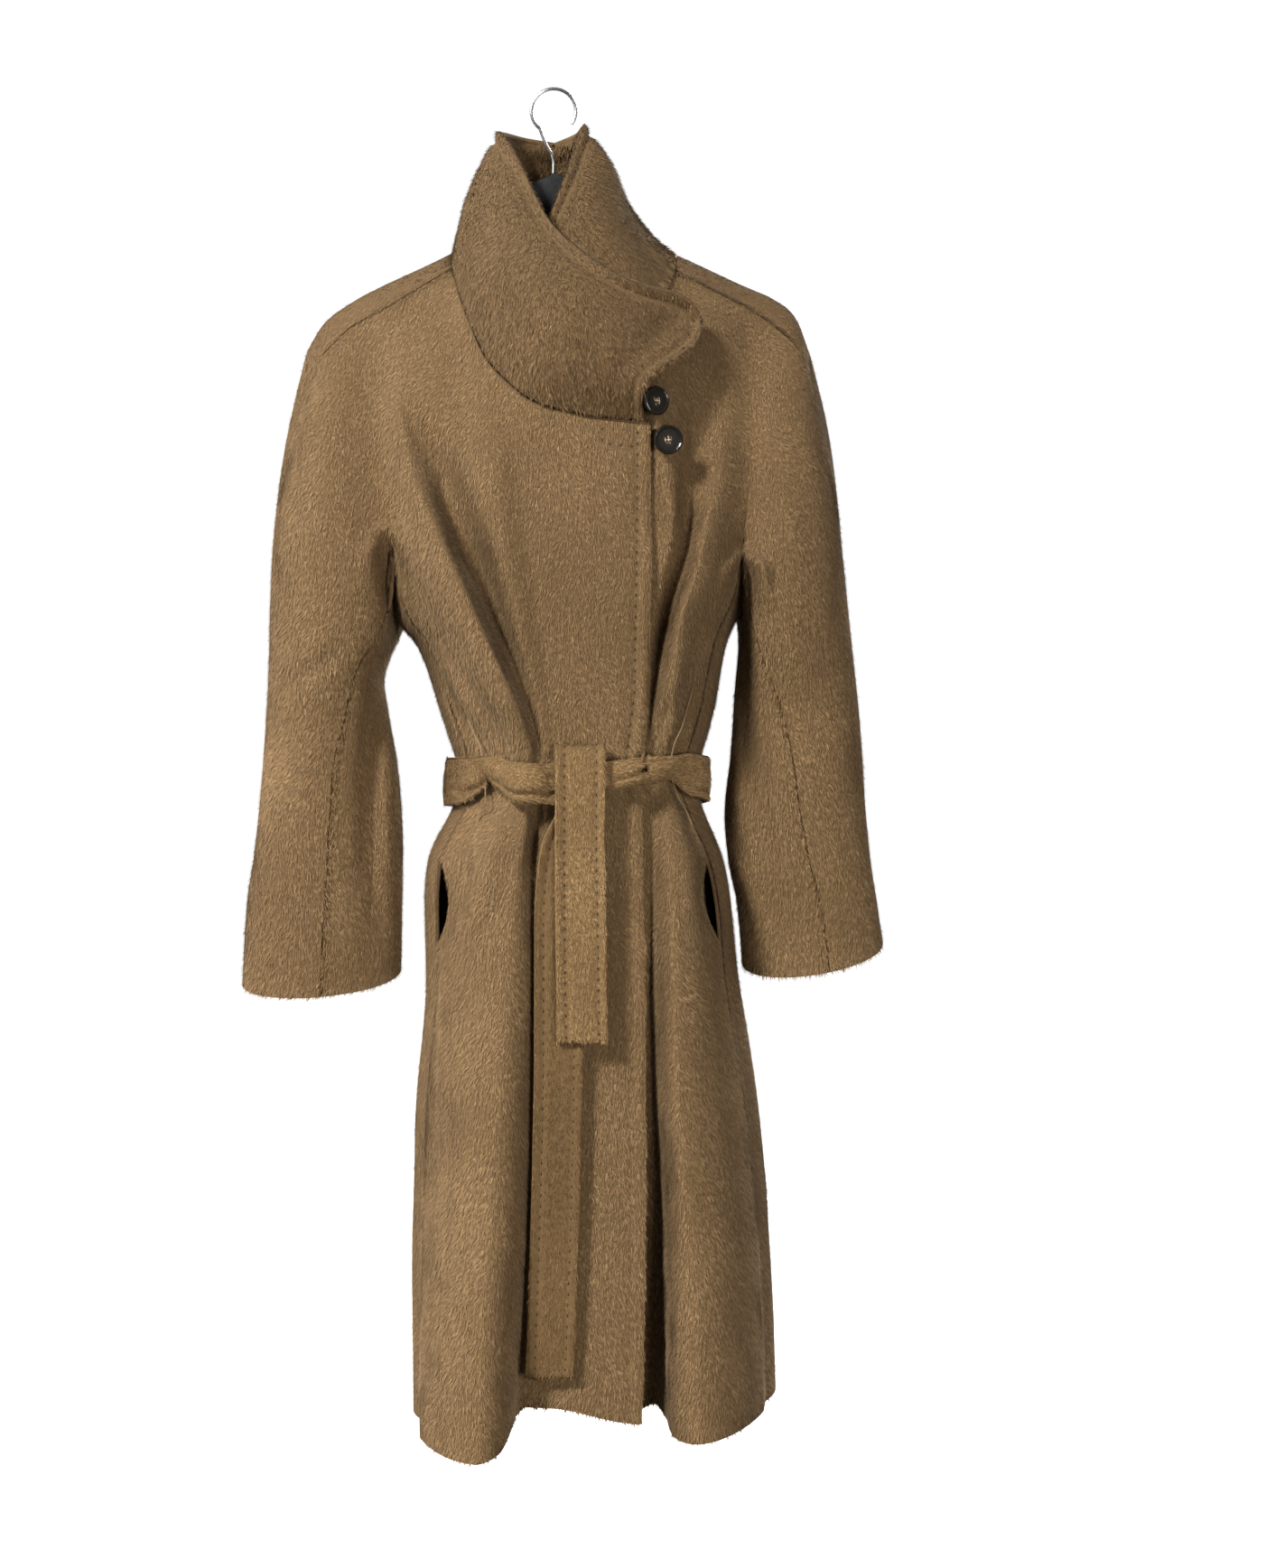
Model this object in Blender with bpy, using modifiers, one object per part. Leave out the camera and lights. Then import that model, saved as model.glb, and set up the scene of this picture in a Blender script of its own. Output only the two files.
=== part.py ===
# Belted coat hanging on its hanger. Tables are in millimetres: x to the right of the hook,
# y behind it and down below the inside top of its bend, where the origin is. The front faces -Y.
import math
from collections import namedtuple

import bmesh
import bpy
import numpy as np
from mathutils import Matrix

MM = 0.001
WALL = 3.0
COLLAR_WALL = 6.0
BELT_WALL = 5.0
SEAM_GAP = 0.2
CREASE_GAP = 0.7
CORNER_TRIM = 8.0
ROUND = 2.4
SEAM_INSET = 15.0
BACK_INSET = 20.0
ARMPIT = 425.0
BACK_ARMPIT = 440.0
UNDERARM = 482.0
HEM = 1215.0
OVERARM_DEG = 15.0
UNDERLAP = 88.0
OUTLINE_BULGE = 5.0

SLEEVE_COLS = 6
SHOULDER_COLS = 4
RIGHT_COLS = 20
LEFT_COLS = 16
BACK_COLS = 16
WING_COLS = 4
UPPER_ROWS = 7
CREST_COLS = 3
FLANK_COLS = {"right": 5, "left": 4}
SLEEVE_ROWS = (0, 0.06, 0.13, 0.21, 0.3, 0.41, 0.54, 0.68, 0.84, 1)
BODY_ROWS = (425, 452, 480, 508, 538, 566, 590, 612, 634, 656, 678, 704, 728, 754, 782, 830, 890, 960, 1040,
             1130, 1215)

Section = namedtuple("Section", "down left right side front back")
SECTIONS = (
    Section(425, -158, 186, 4, -92, 84),
    Section(470, -150, 177, 6, -92, 86),
    Section(490, -142, 168, 7, -91, 86),
    Section(510, -127, 160, 8, -90, 85),
    Section(568, -105, 148, 8, -88, 79),
    Section(612, -90, 135, 8, -85, 72),
    Section(634, -83, 128, 8, -83, 69),
    Section(660, -93, 137, 8, -84, 74),
    Section(711, -116, 157, 10, -85, 88),
    Section(749, -119, 164, 12, -86, 97),
    Section(815, -119, 171, 14, -86, 105),
    Section(949, -128, 191, 18, -86, 118),
    Section(1114, -131, 202, 22, -84, 128),
    Section(1215, -131, 205, 24, -84, 132),
)

Sleeve = namedtuple("Sleeve", "down outer inner mid depth front_seam back_seam")
SLEEVES = {
    "right": (
        Sleeve(425, -257, -144, 0, 54, 172, 188),
        Sleeve(490, -261, -147, 4, 55, 155, 205),
        Sleeve(540, -263, -159, 7, 54, 128, 230),
        Sleeve(569, -264.5, -154, 9, 53, 116, 244),
        Sleeve(625, -268, -145, 12, 50, 98, 258),
        Sleeve(705, -278, -140, 15, 45, 94, 262),
        Sleeve(745, -285, -140.5, 16, 43, 94, 262),
        Sleeve(830, -290, -142, 18, 38, 93, 264),
    ),
    "left": (
        Sleeve(425, 265, 172, 0, 54, 172, 188),
        Sleeve(490, 272.5, 175, 6, 54, 150, 205),
        Sleeve(556, 280, 168, 14, 52, 112, 240),
        Sleeve(611, 284.5, 163, 18, 50, 97, 256),
        Sleeve(666, 288.5, 157.5, 23, 48, 88, 262),
        Sleeve(711, 293.5, 161.5, 26, 45, 84, 263),
        Sleeve(745, 300, 168.5, 29, 43, 81, 264),
        Sleeve(820, 312, 175, 32, 40, 81, 264),
    ),
}
Cuff = namedtuple("Cuff", "outer front inner back")
CUFFS = {"right": Cuff(822, 832, 811, 800), "left": Cuff(784, 812, 806, 776)}

Point = namedtuple("Point", "x y down")
SHOULDER_SEAM = {
    "right": (Point(-216, -20, 258), Point(-208, -21, 244), Point(-186, -22, 222), Point(-162, -23, 209),
              Point(-136, -24, 196), Point(-93, -26, 169)),
    "left": (Point(230, -20, 256), Point(221, -21, 237), Point(191, -22, 213), Point(164, -23, 198),
             Point(134, -24, 184), Point(113, -26, 173)),
}
SHOULDER_RIDGE = {
    "right": (Point(-226, -3, 239), Point(-218, -2, 222), Point(-205, -1, 208), Point(-180, 0, 192),
              Point(-136, 1, 169), Point(-94, 3, 148)),
    "left": (Point(235, -3, 242), Point(230, -2, 221), Point(217, -1, 202), Point(200, 0, 190),
             Point(157, 1, 171), Point(113, 3, 151)),
}
FRONT_NECK = {
    "right": (Point(-93, -26, 169), Point(-77, -52, 219), Point(-56, -72, 264), Point(-27, -86, 293),
              Point(-7, -91, 305), Point(33, -95, 315), Point(89, -96, 321)),
    "left": (Point(113, -26, 173), Point(98, -54, 217), Point(78, -72, 262), Point(50, -81, 292),
             Point(20, -84, 305), Point(-1, -85, 310)),
}
BACK_NECK = (Point(-92, 16, 147), Point(-82, 42, 136), Point(-60, 63, 124), Point(-30, 74, 118),
             Point(8, 78, 115), Point(45, 74, 118), Point(78, 63, 124), Point(101, 42, 136),
             Point(111, 16, 149))
SHOULDER_JOIN = {"right": -165.0, "left": 186.0}
SHOULDER_COLUMNS = {"right": (-165, -160, -155, -150, -93), "left": (186, 182, 178, 174, 113)}

Edge = namedtuple("Edge", "down x lap")
FRONT_EDGE = (Edge(300, 89.5, 6), Edge(425, 89.5, 7), Edge(560, 87, 8), Edge(634, 80, 8), Edge(664, 81, 8),
              Edge(804, 84, 14), Edge(950, 85, 24), Edge(1100, 84, 36), Edge(1215, 81, 46))
LAP_FLOOR = 10.0
LAP_FADE = 18.0
Hem = namedtuple("Hem", "x lift")
FRONT_HEM = (Hem(-131, 0), Hem(-65, -4), Hem(-42, 0), Hem(-22, 26), Hem(0, 26), Hem(78, 12), Hem(92, 17),
             Hem(108, 8), Hem(165, 13), Hem(205, 18))
BACK_HEM = (Hem(-131, 0), Hem(60, 3), Hem(185, 16), Hem(205, 18))
HEM_START = 900.0

# Each fold runs down through its rows; left and right are how far its two flanks reach, and full is
# low for a round roll and high for a soft ridge.
Fold = namedtuple("Fold", "down x height left right full")
FRONT_FOLDS = {
    "drape_right": (
        Fold(270, -132, 0, 50, 16, 2), Fold(369, -103, 14, 60, 16, 2), Fold(425, -85, 21, 66, 16, 2),
        Fold(481, -62, 26, 70, 16, 1.8), Fold(556, -29, 24, 66, 15, 1.6),
        Fold(600, -20, 11, 50, 13, 2), Fold(628, -18, 4, 40, 12, 2), Fold(650, -19, 4, 38, 12, 2),
        Fold(700, -29, 16, 50, 17, 1.5), Fold(804, -38, 24, 60, 25, 1.1),
        Fold(900, -45, 34, 66, 29, 0.9), Fold(1050, -54, 55, 70, 33, 0.75),
        Fold(1215, -63, 80, 68, 33, 0.6),
    ),
    "drape_left": (
        Fold(255, 166, 0, 16, 50, 2), Fold(321, 154, 8, 16, 50, 2), Fold(382, 143, 15, 16, 48, 2),
        Fold(439, 133, 22, 16, 46, 2), Fold(484, 119, 25, 16, 48, 1.8),
        Fold(520, 109, 24, 15, 50, 1.6), Fold(600, 95, 12, 13, 45, 2), Fold(628, 94, 4, 12, 40, 2),
        Fold(650, 96, 4, 12, 40, 2), Fold(700, 103, 14, 14, 46, 1.5), Fold(804, 108, 24, 20, 56, 1.1),
        Fold(897, 115, 34, 24, 58, 0.9), Fold(1050, 129, 48, 30, 60, 0.75),
        Fold(1215, 137, 64, 34, 58, 0.6),
    ),
    "waist_valley_right": (
        Fold(450, -126, 0, 14, 14, 2), Fold(520, -87, -5, 14, 14, 2), Fold(580, -52, -8, 13, 13, 2),
        Fold(609, -38, -5, 12, 12, 2), Fold(630, -33, 0, 12, 12, 2),
    ),
    "waist_valley_left": (
        Fold(450, 150, 0, 12, 12, 2), Fold(552, 121, -6, 12, 12, 2), Fold(601, 110, -5, 11, 11, 2),
        Fold(626, 108, 0, 11, 11, 2),
    ),
    "side_crease_right": (
        Fold(510, -117, 0, 12, 12, 2), Fold(560, -96, -5, 12, 12, 2), Fold(604, -75, -5, 12, 12, 2),
        Fold(626, -70, 0, 12, 12, 2),
    ),
    "side_crease_left": (
        Fold(520, 154, 0, 12, 12, 2), Fold(575, 139, -5, 12, 12, 2), Fold(604, 127, -5, 12, 12, 2),
        Fold(626, 121, 0, 12, 12, 2),
    ),
    "pocket_pleat_right": (
        Fold(650, -50, 0, 12, 30, 2), Fold(690, -59, 9, 13, 30, 2), Fold(745, -73, 11, 13, 32, 2),
        Fold(795, -93, 0, 12, 30, 2),
    ),
    "pocket_pleat_left": (
        Fold(652, 122, 0, 26, 12, 2), Fold(695, 128, 8, 26, 13, 2), Fold(745, 138, 9, 28, 13, 2),
        Fold(795, 152, 0, 26, 12, 2),
    ),
}
BUTTON_STAND = (Fold(215, 100, 0, 30, 34, 2), Fold(280, 98, 16, 32, 38, 2), Fold(345, 102, 15, 32, 36, 2),
                Fold(420, 100, 4, 30, 34, 2), Fold(470, 98, 0, 30, 34, 2))
BACK_FOLDS = {
    "back_centre": (
        Fold(640, 20, 0, 30, 30, 2), Fold(720, 19, 10, 34, 34, 2), Fold(850, 16, 20, 46, 42, 2),
        Fold(1050, 12, 28, 55, 50, 2), Fold(1215, 10, 34, 60, 54, 2),
    ),
    "back_right": (
        Fold(640, -50, 0, 26, 26, 2), Fold(720, -58, 8, 30, 30, 2), Fold(900, -68, 18, 34, 36, 2),
        Fold(1215, -76, 28, 36, 40, 2),
    ),
    "back_left": (
        Fold(640, 88, 0, 26, 26, 2), Fold(720, 100, 8, 30, 30, 2), Fold(900, 114, 18, 36, 34, 2),
        Fold(1215, 124, 28, 40, 36, 2),
    ),
    "blade_right": (
        Fold(330, -108, 0, 40, 30, 2), Fold(450, -82, 8, 40, 22, 2), Fold(550, -58, 11, 36, 20, 2),
        Fold(612, -44, 4, 26, 18, 2), Fold(634, -42, 0, 26, 18, 2),
    ),
    "blade_left": (
        Fold(330, 138, 0, 30, 40, 2), Fold(450, 116, 8, 22, 40, 2), Fold(550, 98, 11, 20, 36, 2),
        Fold(612, 86, 4, 18, 26, 2), Fold(634, 84, 0, 18, 26, 2),
    ),
}

Slit = namedtuple("Slit", "top bottom gap lift")
POCKET_SLITS = {"right": Slit(704, 782, 11.0, 5.0), "left": Slit(704, 782, 11.5, 4.0)}
Bag = namedtuple("Bag", "top bottom front clear hollow wall")
POCKET_BAG = Bag(692, 850, 26.0, 2.0, 15.0, 1.5)

# Roll bends a rib outward above its middle and inward below it.
Rib = namedtuple("Rib", "seam mid edge roll")
COLLAR = {
    "right": (
        Rib(Point(0.5, 78, 115), Point(0, 78, 73), Point(-2, 66, 29), 0),
        Rib(Point(-60, 63, 124), Point(-49, 60, 76), Point(-33, 50, 28), 0),
        Rib(Point(-95, 3, 147), Point(-74, 8, 87), Point(-48, 10, 36), 0),
        Rib(Point(-93.5, -26, 169), Point(-70, -20, 122), Point(-35, -8, 58), 0),
        Rib(Point(-77, -52, 219), Point(-57, -48, 158), Point(-22, -25, 88), 0),
        Rib(Point(-42, -80, 280), Point(-19, -85, 218), Point(1, -58, 139), 0),
        Rib(Point(9, -93, 311), Point(25, -102, 249), Point(44, -82, 179), 0),
        Rib(Point(56, -95.5, 318), Point(72, -107, 266), Point(92, -98, 206), 0),
        Rib(Point(85, -96, 321), Point(91, -108, 276), Point(133, -109, 228), 0),
    ),
    "left": (
        Rib(Point(1.1, 78, 115), Point(0.6, 78, 73), Point(-1.4, 66, 29), 0),
        Rib(Point(72, 65, 123), Point(50, 61, 77), Point(19, 46, 26), 3),
        Rib(Point(115, 3, 150), Point(61, 8, 87), Point(26, 6, 29), 7),
        Rib(Point(113, -26, 173), Point(58, -16, 108), Point(18, -9, 56), 4),
        Rib(Point(98, -54, 217), Point(45, -42, 136), Point(10, -25, 86), 0),
        Rib(Point(50, -81, 292), Point(22, -66, 222), Point(-8, -42, 140), 0),
    ),
}
COLLAR_MIDDLE = Point(8, 10, 0)
COLLAR_COLS = {"right": 24, "left": 15}
COLLAR_ROWS = 6
COLLAR_LIFT = 1.75

Band = namedtuple("Band", "turn mid height stand")
BELT_BAND = (
    Band(0.0, 627, 27, 8.6), Band(0.06, 622, 28, 2.0), Band(0.1, 621, 26, 1.9), Band(0.16, 628, 42, 1.9),
    Band(0.25, 634, 44, 1.9), Band(0.5, 637, 48, 1.9), Band(0.75, 636, 46, 1.9), Band(0.84, 631, 42, 1.9),
    Band(0.9, 626, 28, 1.9), Band(0.94, 631, 34, 3.0), Band(0.965, 634, 37, 8.6), Band(1.0, 635, 38, 8.6),
)
BELT_GAP_LEFT = 12.0
BELT_GAP_RIGHT = 46.5
BELT_STEPS = 40
Strap = namedtuple("Strap", "x y down width")
TAIL_SHORT = (Strap(29, -85.6, 652, 44), Strap(28, -85.6, 632, 45), Strap(27.5, -86.5, 613, 46),
              Strap(27, -94.5, 603, 46), Strap(27, -103.2, 613, 46), Strap(27, -104, 634, 46),
              Strap(27, -105, 690, 46), Strap(28, -106, 780, 47), Strap(29, -106, 864, 47))
TAIL_LONG = (Strap(24, -99, 664, 40), Strap(13, -99.3, 695, 44), Strap(8, -99.6, 760, 45),
             Strap(8, -99.6, 860, 45), Strap(6, -98, 980, 45), Strap(0, -96, 1160, 45))
TAIL_STEPS = 4
THREAD = 0.6
# A carrier thread leaves the front, stands over the belt and goes back into the front below it.
Thread = namedtuple("Thread", "x down stand")
CARRIERS = {
    "right": (Thread(-74, 580, 1.5), Thread(-67, 596, 5), Thread(-62, 606, 11), Thread(-58, 630, 11),
              Thread(-58, 652, 11), Thread(-62, 662, 5), Thread(-66, 674, 1.5)),
    "left": (Thread(126, 552, 1.5), Thread(116, 588, 5), Thread(109, 604, 14), Thread(106, 624, 14),
             Thread(113, 648, 14), Thread(120, 660, 7), Thread(126, 674, 1.5)),
}

BUTTON_RADIUS = 13.0
BUTTON_DEPTH = 4.6
BUTTON_DISH = 1.2
BUTTON_RIM = 2.6
HOLE_RADIUS = 1.0
HOLE_PITCH = 2.6
SHANK_RADIUS = 2.4
# Foot is how far back the thread stem meets the under front.
Button = namedtuple("Button", "x y down turn foot")
BUTTONS = {"upper": Button(93.5, -101, 302, 33.0, -87.2), "lower": Button(104.0, -99, 336, 6.0, -90.6)}

HANGER_THICK = 10.0
HANGER_ROLL_DEG = 1.6
HANGER_EDGE = 1.5
Bar = namedtuple("Bar", "x top bottom")
HANGER = (Bar(0, 77, 128), Bar(24, 87, 134), Bar(60, 134.5, 166), Bar(105, 171.5, 196), Bar(155, 193.7, 217),
          Bar(190, 214.6, 236), Bar(198, 223.5, 232))
HOOK_WIRE = 1.5
HOOK_INNER = 19.0
HOOK_SOCKET = 76.5

CLOTH_COLOUR = (0.25, 0.16, 0.09, 1.0)
POCKET_COLOUR = (0.05, 0.035, 0.022, 1.0)
BELT_COLOUR = (0.27, 0.175, 0.09, 1.0)
HORN_COLOUR = (0.02, 0.017, 0.014, 1.0)
HANGER_COLOUR = (0.018, 0.019, 0.018, 1.0)
WIRE_COLOUR = (0.62, 0.62, 0.6, 1.0)


def glide(xs, ys, at):
    """A smooth curve through the points that never overshoots them."""
    xs = np.asarray(xs, float)
    ys = np.asarray(ys, float)
    at = np.clip(np.asarray(at, float), xs[0], xs[-1])
    step = np.diff(xs)
    slope = np.diff(ys) / step
    tangent = np.concatenate([slope[:1], np.zeros(len(xs) - 2), slope[-1:]])
    both = slope[:-1] * slope[1:]
    total = slope[:-1] + slope[1:]
    tangent[1:-1] = np.where(both > 0, 2 * both / np.where(total == 0, 1, total), 0)
    i = np.clip(np.searchsorted(xs, at) - 1, 0, len(xs) - 2)
    t = (at - xs[i]) / step[i]
    rise = ys[i + 1] - ys[i]
    bend = (3 - 2 * t) * t * t * rise
    ease = t * (1 - t) * step[i] * ((1 - t) * tangent[i] - t * tangent[i + 1])
    return ys[i] + bend + ease


def column(rows, name, at, key="down"):
    return glide([getattr(r, key) for r in rows], [getattr(r, name) for r in rows], at)


def smoothstep(t):
    t = np.clip(t, 0, 1)
    return t * t * (3 - 2 * t)


def folds(table, x, down):
    """How far the cloth stands out where its folds are."""
    total = np.zeros(np.broadcast(x, down).shape)
    for rows in table.values():
        live = (down >= rows[0].down) & (down <= rows[-1].down)
        off = x - column(rows, "x", down)
        reach = np.where(off < 0, column(rows, "left", down), column(rows, "right", down))
        near = (1 - np.clip(np.abs(off) / reach, 0, 1) ** 2) ** column(rows, "full", down)
        total = total + np.where(live, column(rows, "height", down) * near, 0)
    return total


def half_depth(x, down, name):
    """The section's front or back curve, without folds."""
    left = column(SECTIONS, "left", down)
    right = column(SECTIONS, "right", down)
    side = column(SECTIONS, "side", down)
    share = np.clip(np.abs(x - 0.5 * (left + right)) / (0.5 * (right - left)), 0, 1)
    return side + (column(SECTIONS, name, down) - side) * (1 - share**ROUND) ** (1 / ROUND)


def lap(x, down):
    """How far the under front lies behind the front that laps over it."""
    past = x - column(FRONT_EDGE, "x", down) - LAP_FLOOR
    return column(FRONT_EDGE, "lap", down) * (1 - smoothstep(past / LAP_FADE))


def front_folds(side):
    """Both fronts share their folds; the under front also stands forward at the buttons."""
    return FRONT_FOLDS if side == "right" else dict(FRONT_FOLDS, button_stand=BUTTON_STAND)


def front_y(side, x, down):
    y = half_depth(x, down, "front")
    if side == "left":
        y = y + lap(x, down)
    return y


def hem_lift(table, x, down):
    """How much shorter than its longest the cloth hangs."""
    lift = glide([h.x for h in table], [h.lift for h in table], x)
    return lift * smoothstep((down - HEM_START) / (HEM - HEM_START))


def outer_x(side, down):
    return column(SECTIONS, side, down)


def seam_x(side, down):
    inward = 1 if side == "right" else -1
    return outer_x("left" if side == "right" else "right", down) + inward * SEAM_INSET


def back_x(side, down):
    inward = 1 if side == "right" else -1
    return outer_x("left" if side == "right" else "right", down) + inward * BACK_INSET


def front_x(side, share, down):
    """Columns spread from the side seam to the fold's crest, over its steep flank and on to the edge."""
    crest = FRONT_FOLDS["drape_" + side]
    cols = RIGHT_COLS if side == "right" else LEFT_COLS
    level = np.maximum(down, ARMPIT)
    top = column(crest, "x", level)
    flank = column(crest, "right", level) if side == "right" else -column(crest, "left", level)
    edge = column(FRONT_EDGE, "x", level) - (UNDERLAP if side == "left" else 0)
    seam = seam_x(side, level)
    first = CREST_COLS / cols
    second = (CREST_COLS + FLANK_COLS[side]) / cols
    a = seam + (top - seam) * share / first
    b = top + flank * (share - first) / (second - first)
    c = top + flank + (edge - top - flank) * (share - second) / (1 - second)
    return np.where(share < first, a, np.where(share < second, b, c))


def front_point(side, share, down):
    """A point of a front below the armpit; share runs from the side seam to the front edge."""
    x = front_x(side, share, down)
    y = front_y(side, x, down) - folds(front_folds(side), x, down)
    return np.stack([x, y, down - hem_lift(FRONT_HEM, x, down)], -1)


def back_point(share, down):
    left = back_x("right", down)
    right = back_x("left", down)
    x = left + (right - left) * share
    y = half_depth(x, down, "back") + folds(BACK_FOLDS, x, down)
    return np.stack([x, y, down - hem_lift(BACK_HEM, x, down)], -1)


def wing_point(side, share, down):
    """A point of the side, from the forward seam round to the back."""
    left = column(SECTIONS, "left", down)
    right = column(SECTIONS, "right", down)
    half = 0.5 * (right - left)
    middle = 0.5 * (right + left)
    turn_front = np.arccos((1 - SEAM_INSET / half) ** (ROUND / 2))
    turn_back = np.arccos((1 - BACK_INSET / half) ** (ROUND / 2))
    turn = turn_front - (turn_front + turn_back) * share
    way = -1 if side == "right" else 1
    x = middle + way * half * np.cos(turn) ** (2 / ROUND)
    y_side = column(SECTIONS, "side", down)
    reach = np.where(turn > 0, column(SECTIONS, "front", down), column(SECTIONS, "back", down)) - y_side
    y = y_side + reach * np.abs(np.sin(turn)) ** (2 / ROUND)
    return np.stack([x, y, down - hem_lift(BACK_HEM, x, down)], -1)


def underarm_down(share):
    """The level of the underarm seam, lowest in the middle."""
    ends = ARMPIT + (BACK_ARMPIT - ARMPIT) * share
    return ends + (UNDERARM - 0.5 * (ARMPIT + BACK_ARMPIT)) * np.sin(math.pi * share) ** 0.8


def sleeve_ring(side, turn, down):
    """A point of the sleeve; turn goes from the outside by the front to the inside."""
    rows = SLEEVES[side]
    outer = column(rows, "outer", down)
    inner = column(rows, "inner", down)
    x = 0.5 * (outer + inner) - 0.5 * (inner - outer) * np.cos(turn)
    y = column(rows, "mid", down) - column(rows, "depth", down) * np.sin(turn)
    return np.stack([x, y, down + 0 * x], -1)


def cuff_down(side, turn):
    """The cuff's level round the sleeve, through its outer, front, inner and back heights."""
    c = CUFFS[side]
    across = 0.5 * (c.outer + c.inner)
    along = 0.5 * (c.front + c.back)
    level = across + (along - across) * np.sin(turn) ** 2
    return level + 0.5 * (c.outer - c.inner) * np.cos(turn) + 0.5 * (c.front - c.back) * np.sin(turn)


def table_point(rows, x):
    """The line through a table's points, at x."""
    rows = sorted(rows)
    xs = [r.x for r in rows]
    y = np.interp(x, xs, [r.y for r in rows])
    down = np.interp(x, xs, [r.down for r in rows])
    return np.stack([x + 0 * y, y, down], -1)


def sleeve_leg(side, top, turns_of, rows):
    """Rows from the armpit to the cuff; the top row's own points ease into the sleeve's rings."""
    count = len(top)
    share = np.linspace(0, 1, count)
    first_turn = turns_of(share, top[:, 2])
    away = top - sleeve_ring(side, first_turn, top[:, 2])
    grid = []
    for g in rows:
        turn = first_turn
        for settle in range(3):
            down = top[:, 2] + (cuff_down(side, turn) - top[:, 2]) * g
            turn = turns_of(share, down)
        grid.append(sleeve_ring(side, turn, down) + away * (1 - smoothstep(g / 0.4)))
    return np.array(grid)


def front_turns(side):
    def turns(share, down):
        end = np.radians(column(SLEEVES[side], "front_seam", down))
        start = math.radians(OVERARM_DEG)
        return start + (end - start) * share
    return turns


def back_turns(side):
    def turns(share, down):
        end = np.radians(column(SLEEVES[side], "back_seam", down) - 360)
        start = math.radians(OVERARM_DEG)
        return start + (end - start) * share
    return turns


def under_turns(side):
    def turns(share, down):
        start = np.radians(column(SLEEVES[side], "front_seam", down))
        end = np.radians(column(SLEEVES[side], "back_seam", down))
        return start + (end - start) * share
    return turns


def armpit_row(side, turns, corner, count):
    """The sleeve's half ring at the armpit, ending at the corner it shares with the body."""
    share = np.linspace(0, 1, count)
    level = ARMPIT + (corner[2] - ARMPIT) * share**2
    row = sleeve_ring(side, turns(share, level), level)
    row += (corner - row[-1]) * (share**2)[:, None]
    return row


def upper_grid(top, bottom, rows, ease, fold_table, outward):
    """Rows from the shoulder seam and neck down to the armpit."""
    grid = []
    sink = folds(fold_table, bottom[:, 0], bottom[:, 2])
    base = bottom[:, 1] - outward * sink
    outline = np.zeros(len(top))
    outline[: SLEEVE_COLS + 1] = np.linspace(1, 0, SLEEVE_COLS + 1)
    if fold_table is BACK_FOLDS:
        outline[-SLEEVE_COLS - 1:] = -np.linspace(0, 1, SLEEVE_COLS + 1)
    bulge = -OUTLINE_BULGE * outline * np.sign(bottom[-1, 0] - bottom[0, 0])
    for r in rows:
        x = top[:, 0] + (bottom[:, 0] - top[:, 0]) * r + bulge * math.sin(math.pi * r)
        down = top[:, 2] + (bottom[:, 2] - top[:, 2]) * r
        y = top[:, 1] + (base - top[:, 1]) * (1 - (1 - r) ** ease) + outward * folds(fold_table, x, down)
        grid.append(np.stack([x, y, down], -1))
    grid[0] = top.copy()
    grid[-1] = bottom.copy()
    return np.array(grid)


def front_grids(side, cols):
    share = np.linspace(0, 1, cols + 1)
    body = np.array([front_point(side, share, np.full(cols + 1, float(d))) for d in BODY_ROWS])
    slit = POCKET_SLITS[side]
    inward = 1 if side == "right" else -1
    for row, d in zip(body, BODY_ROWS):
        if slit.top < d < slit.bottom:
            open_by = math.sin(math.pi * (d - slit.top) / (slit.bottom - slit.top))
            row[0] += np.array([inward * slit.gap, -slit.lift, 0]) * open_by
            row[1] += np.array([inward * slit.gap, -slit.lift, 0]) * open_by * 0.5
    arm = armpit_row(side, front_turns(side), body[0, 0], SLEEVE_COLS + 1)
    sleeve = sleeve_leg(side, arm, front_turns(side), SLEEVE_ROWS)
    bottom = np.concatenate([arm, body[0, 1:]])
    seam = SHOULDER_SEAM[side]
    neck = FRONT_NECK[side]
    neck_x = np.linspace(neck[0].x, neck[-1].x, cols - SHOULDER_COLS + 1)
    arm_x = np.linspace(seam[0].x, SHOULDER_JOIN[side], SLEEVE_COLS + 1)
    x = np.concatenate([arm_x, SHOULDER_COLUMNS[side][1:], neck_x[1:]])
    top = table_point(list(seam) + list(neck[1:]), x)
    upper = upper_grid(top, bottom, np.linspace(0, 1, UPPER_ROWS + 1), 1.8, front_folds(side), -1)
    return upper, sleeve, body


def wing_grid(side):
    share = np.linspace(0, 1, WING_COLS + 1)
    first = underarm_down(share)
    grid = []
    for d in BODY_ROWS:
        settle = 1 - smoothstep((d - ARMPIT) / 190)
        down = d + (first - ARMPIT) * settle
        row = wing_point(side, share, down)
        row[0] = front_point(side, np.array([0.0]), np.array([float(d)]))[0]
        row[-1] = back_point(np.array([0.0 if side == "right" else 1.0]), down[-1:])[0]
        grid.append(row)
    return np.array(grid)


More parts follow.
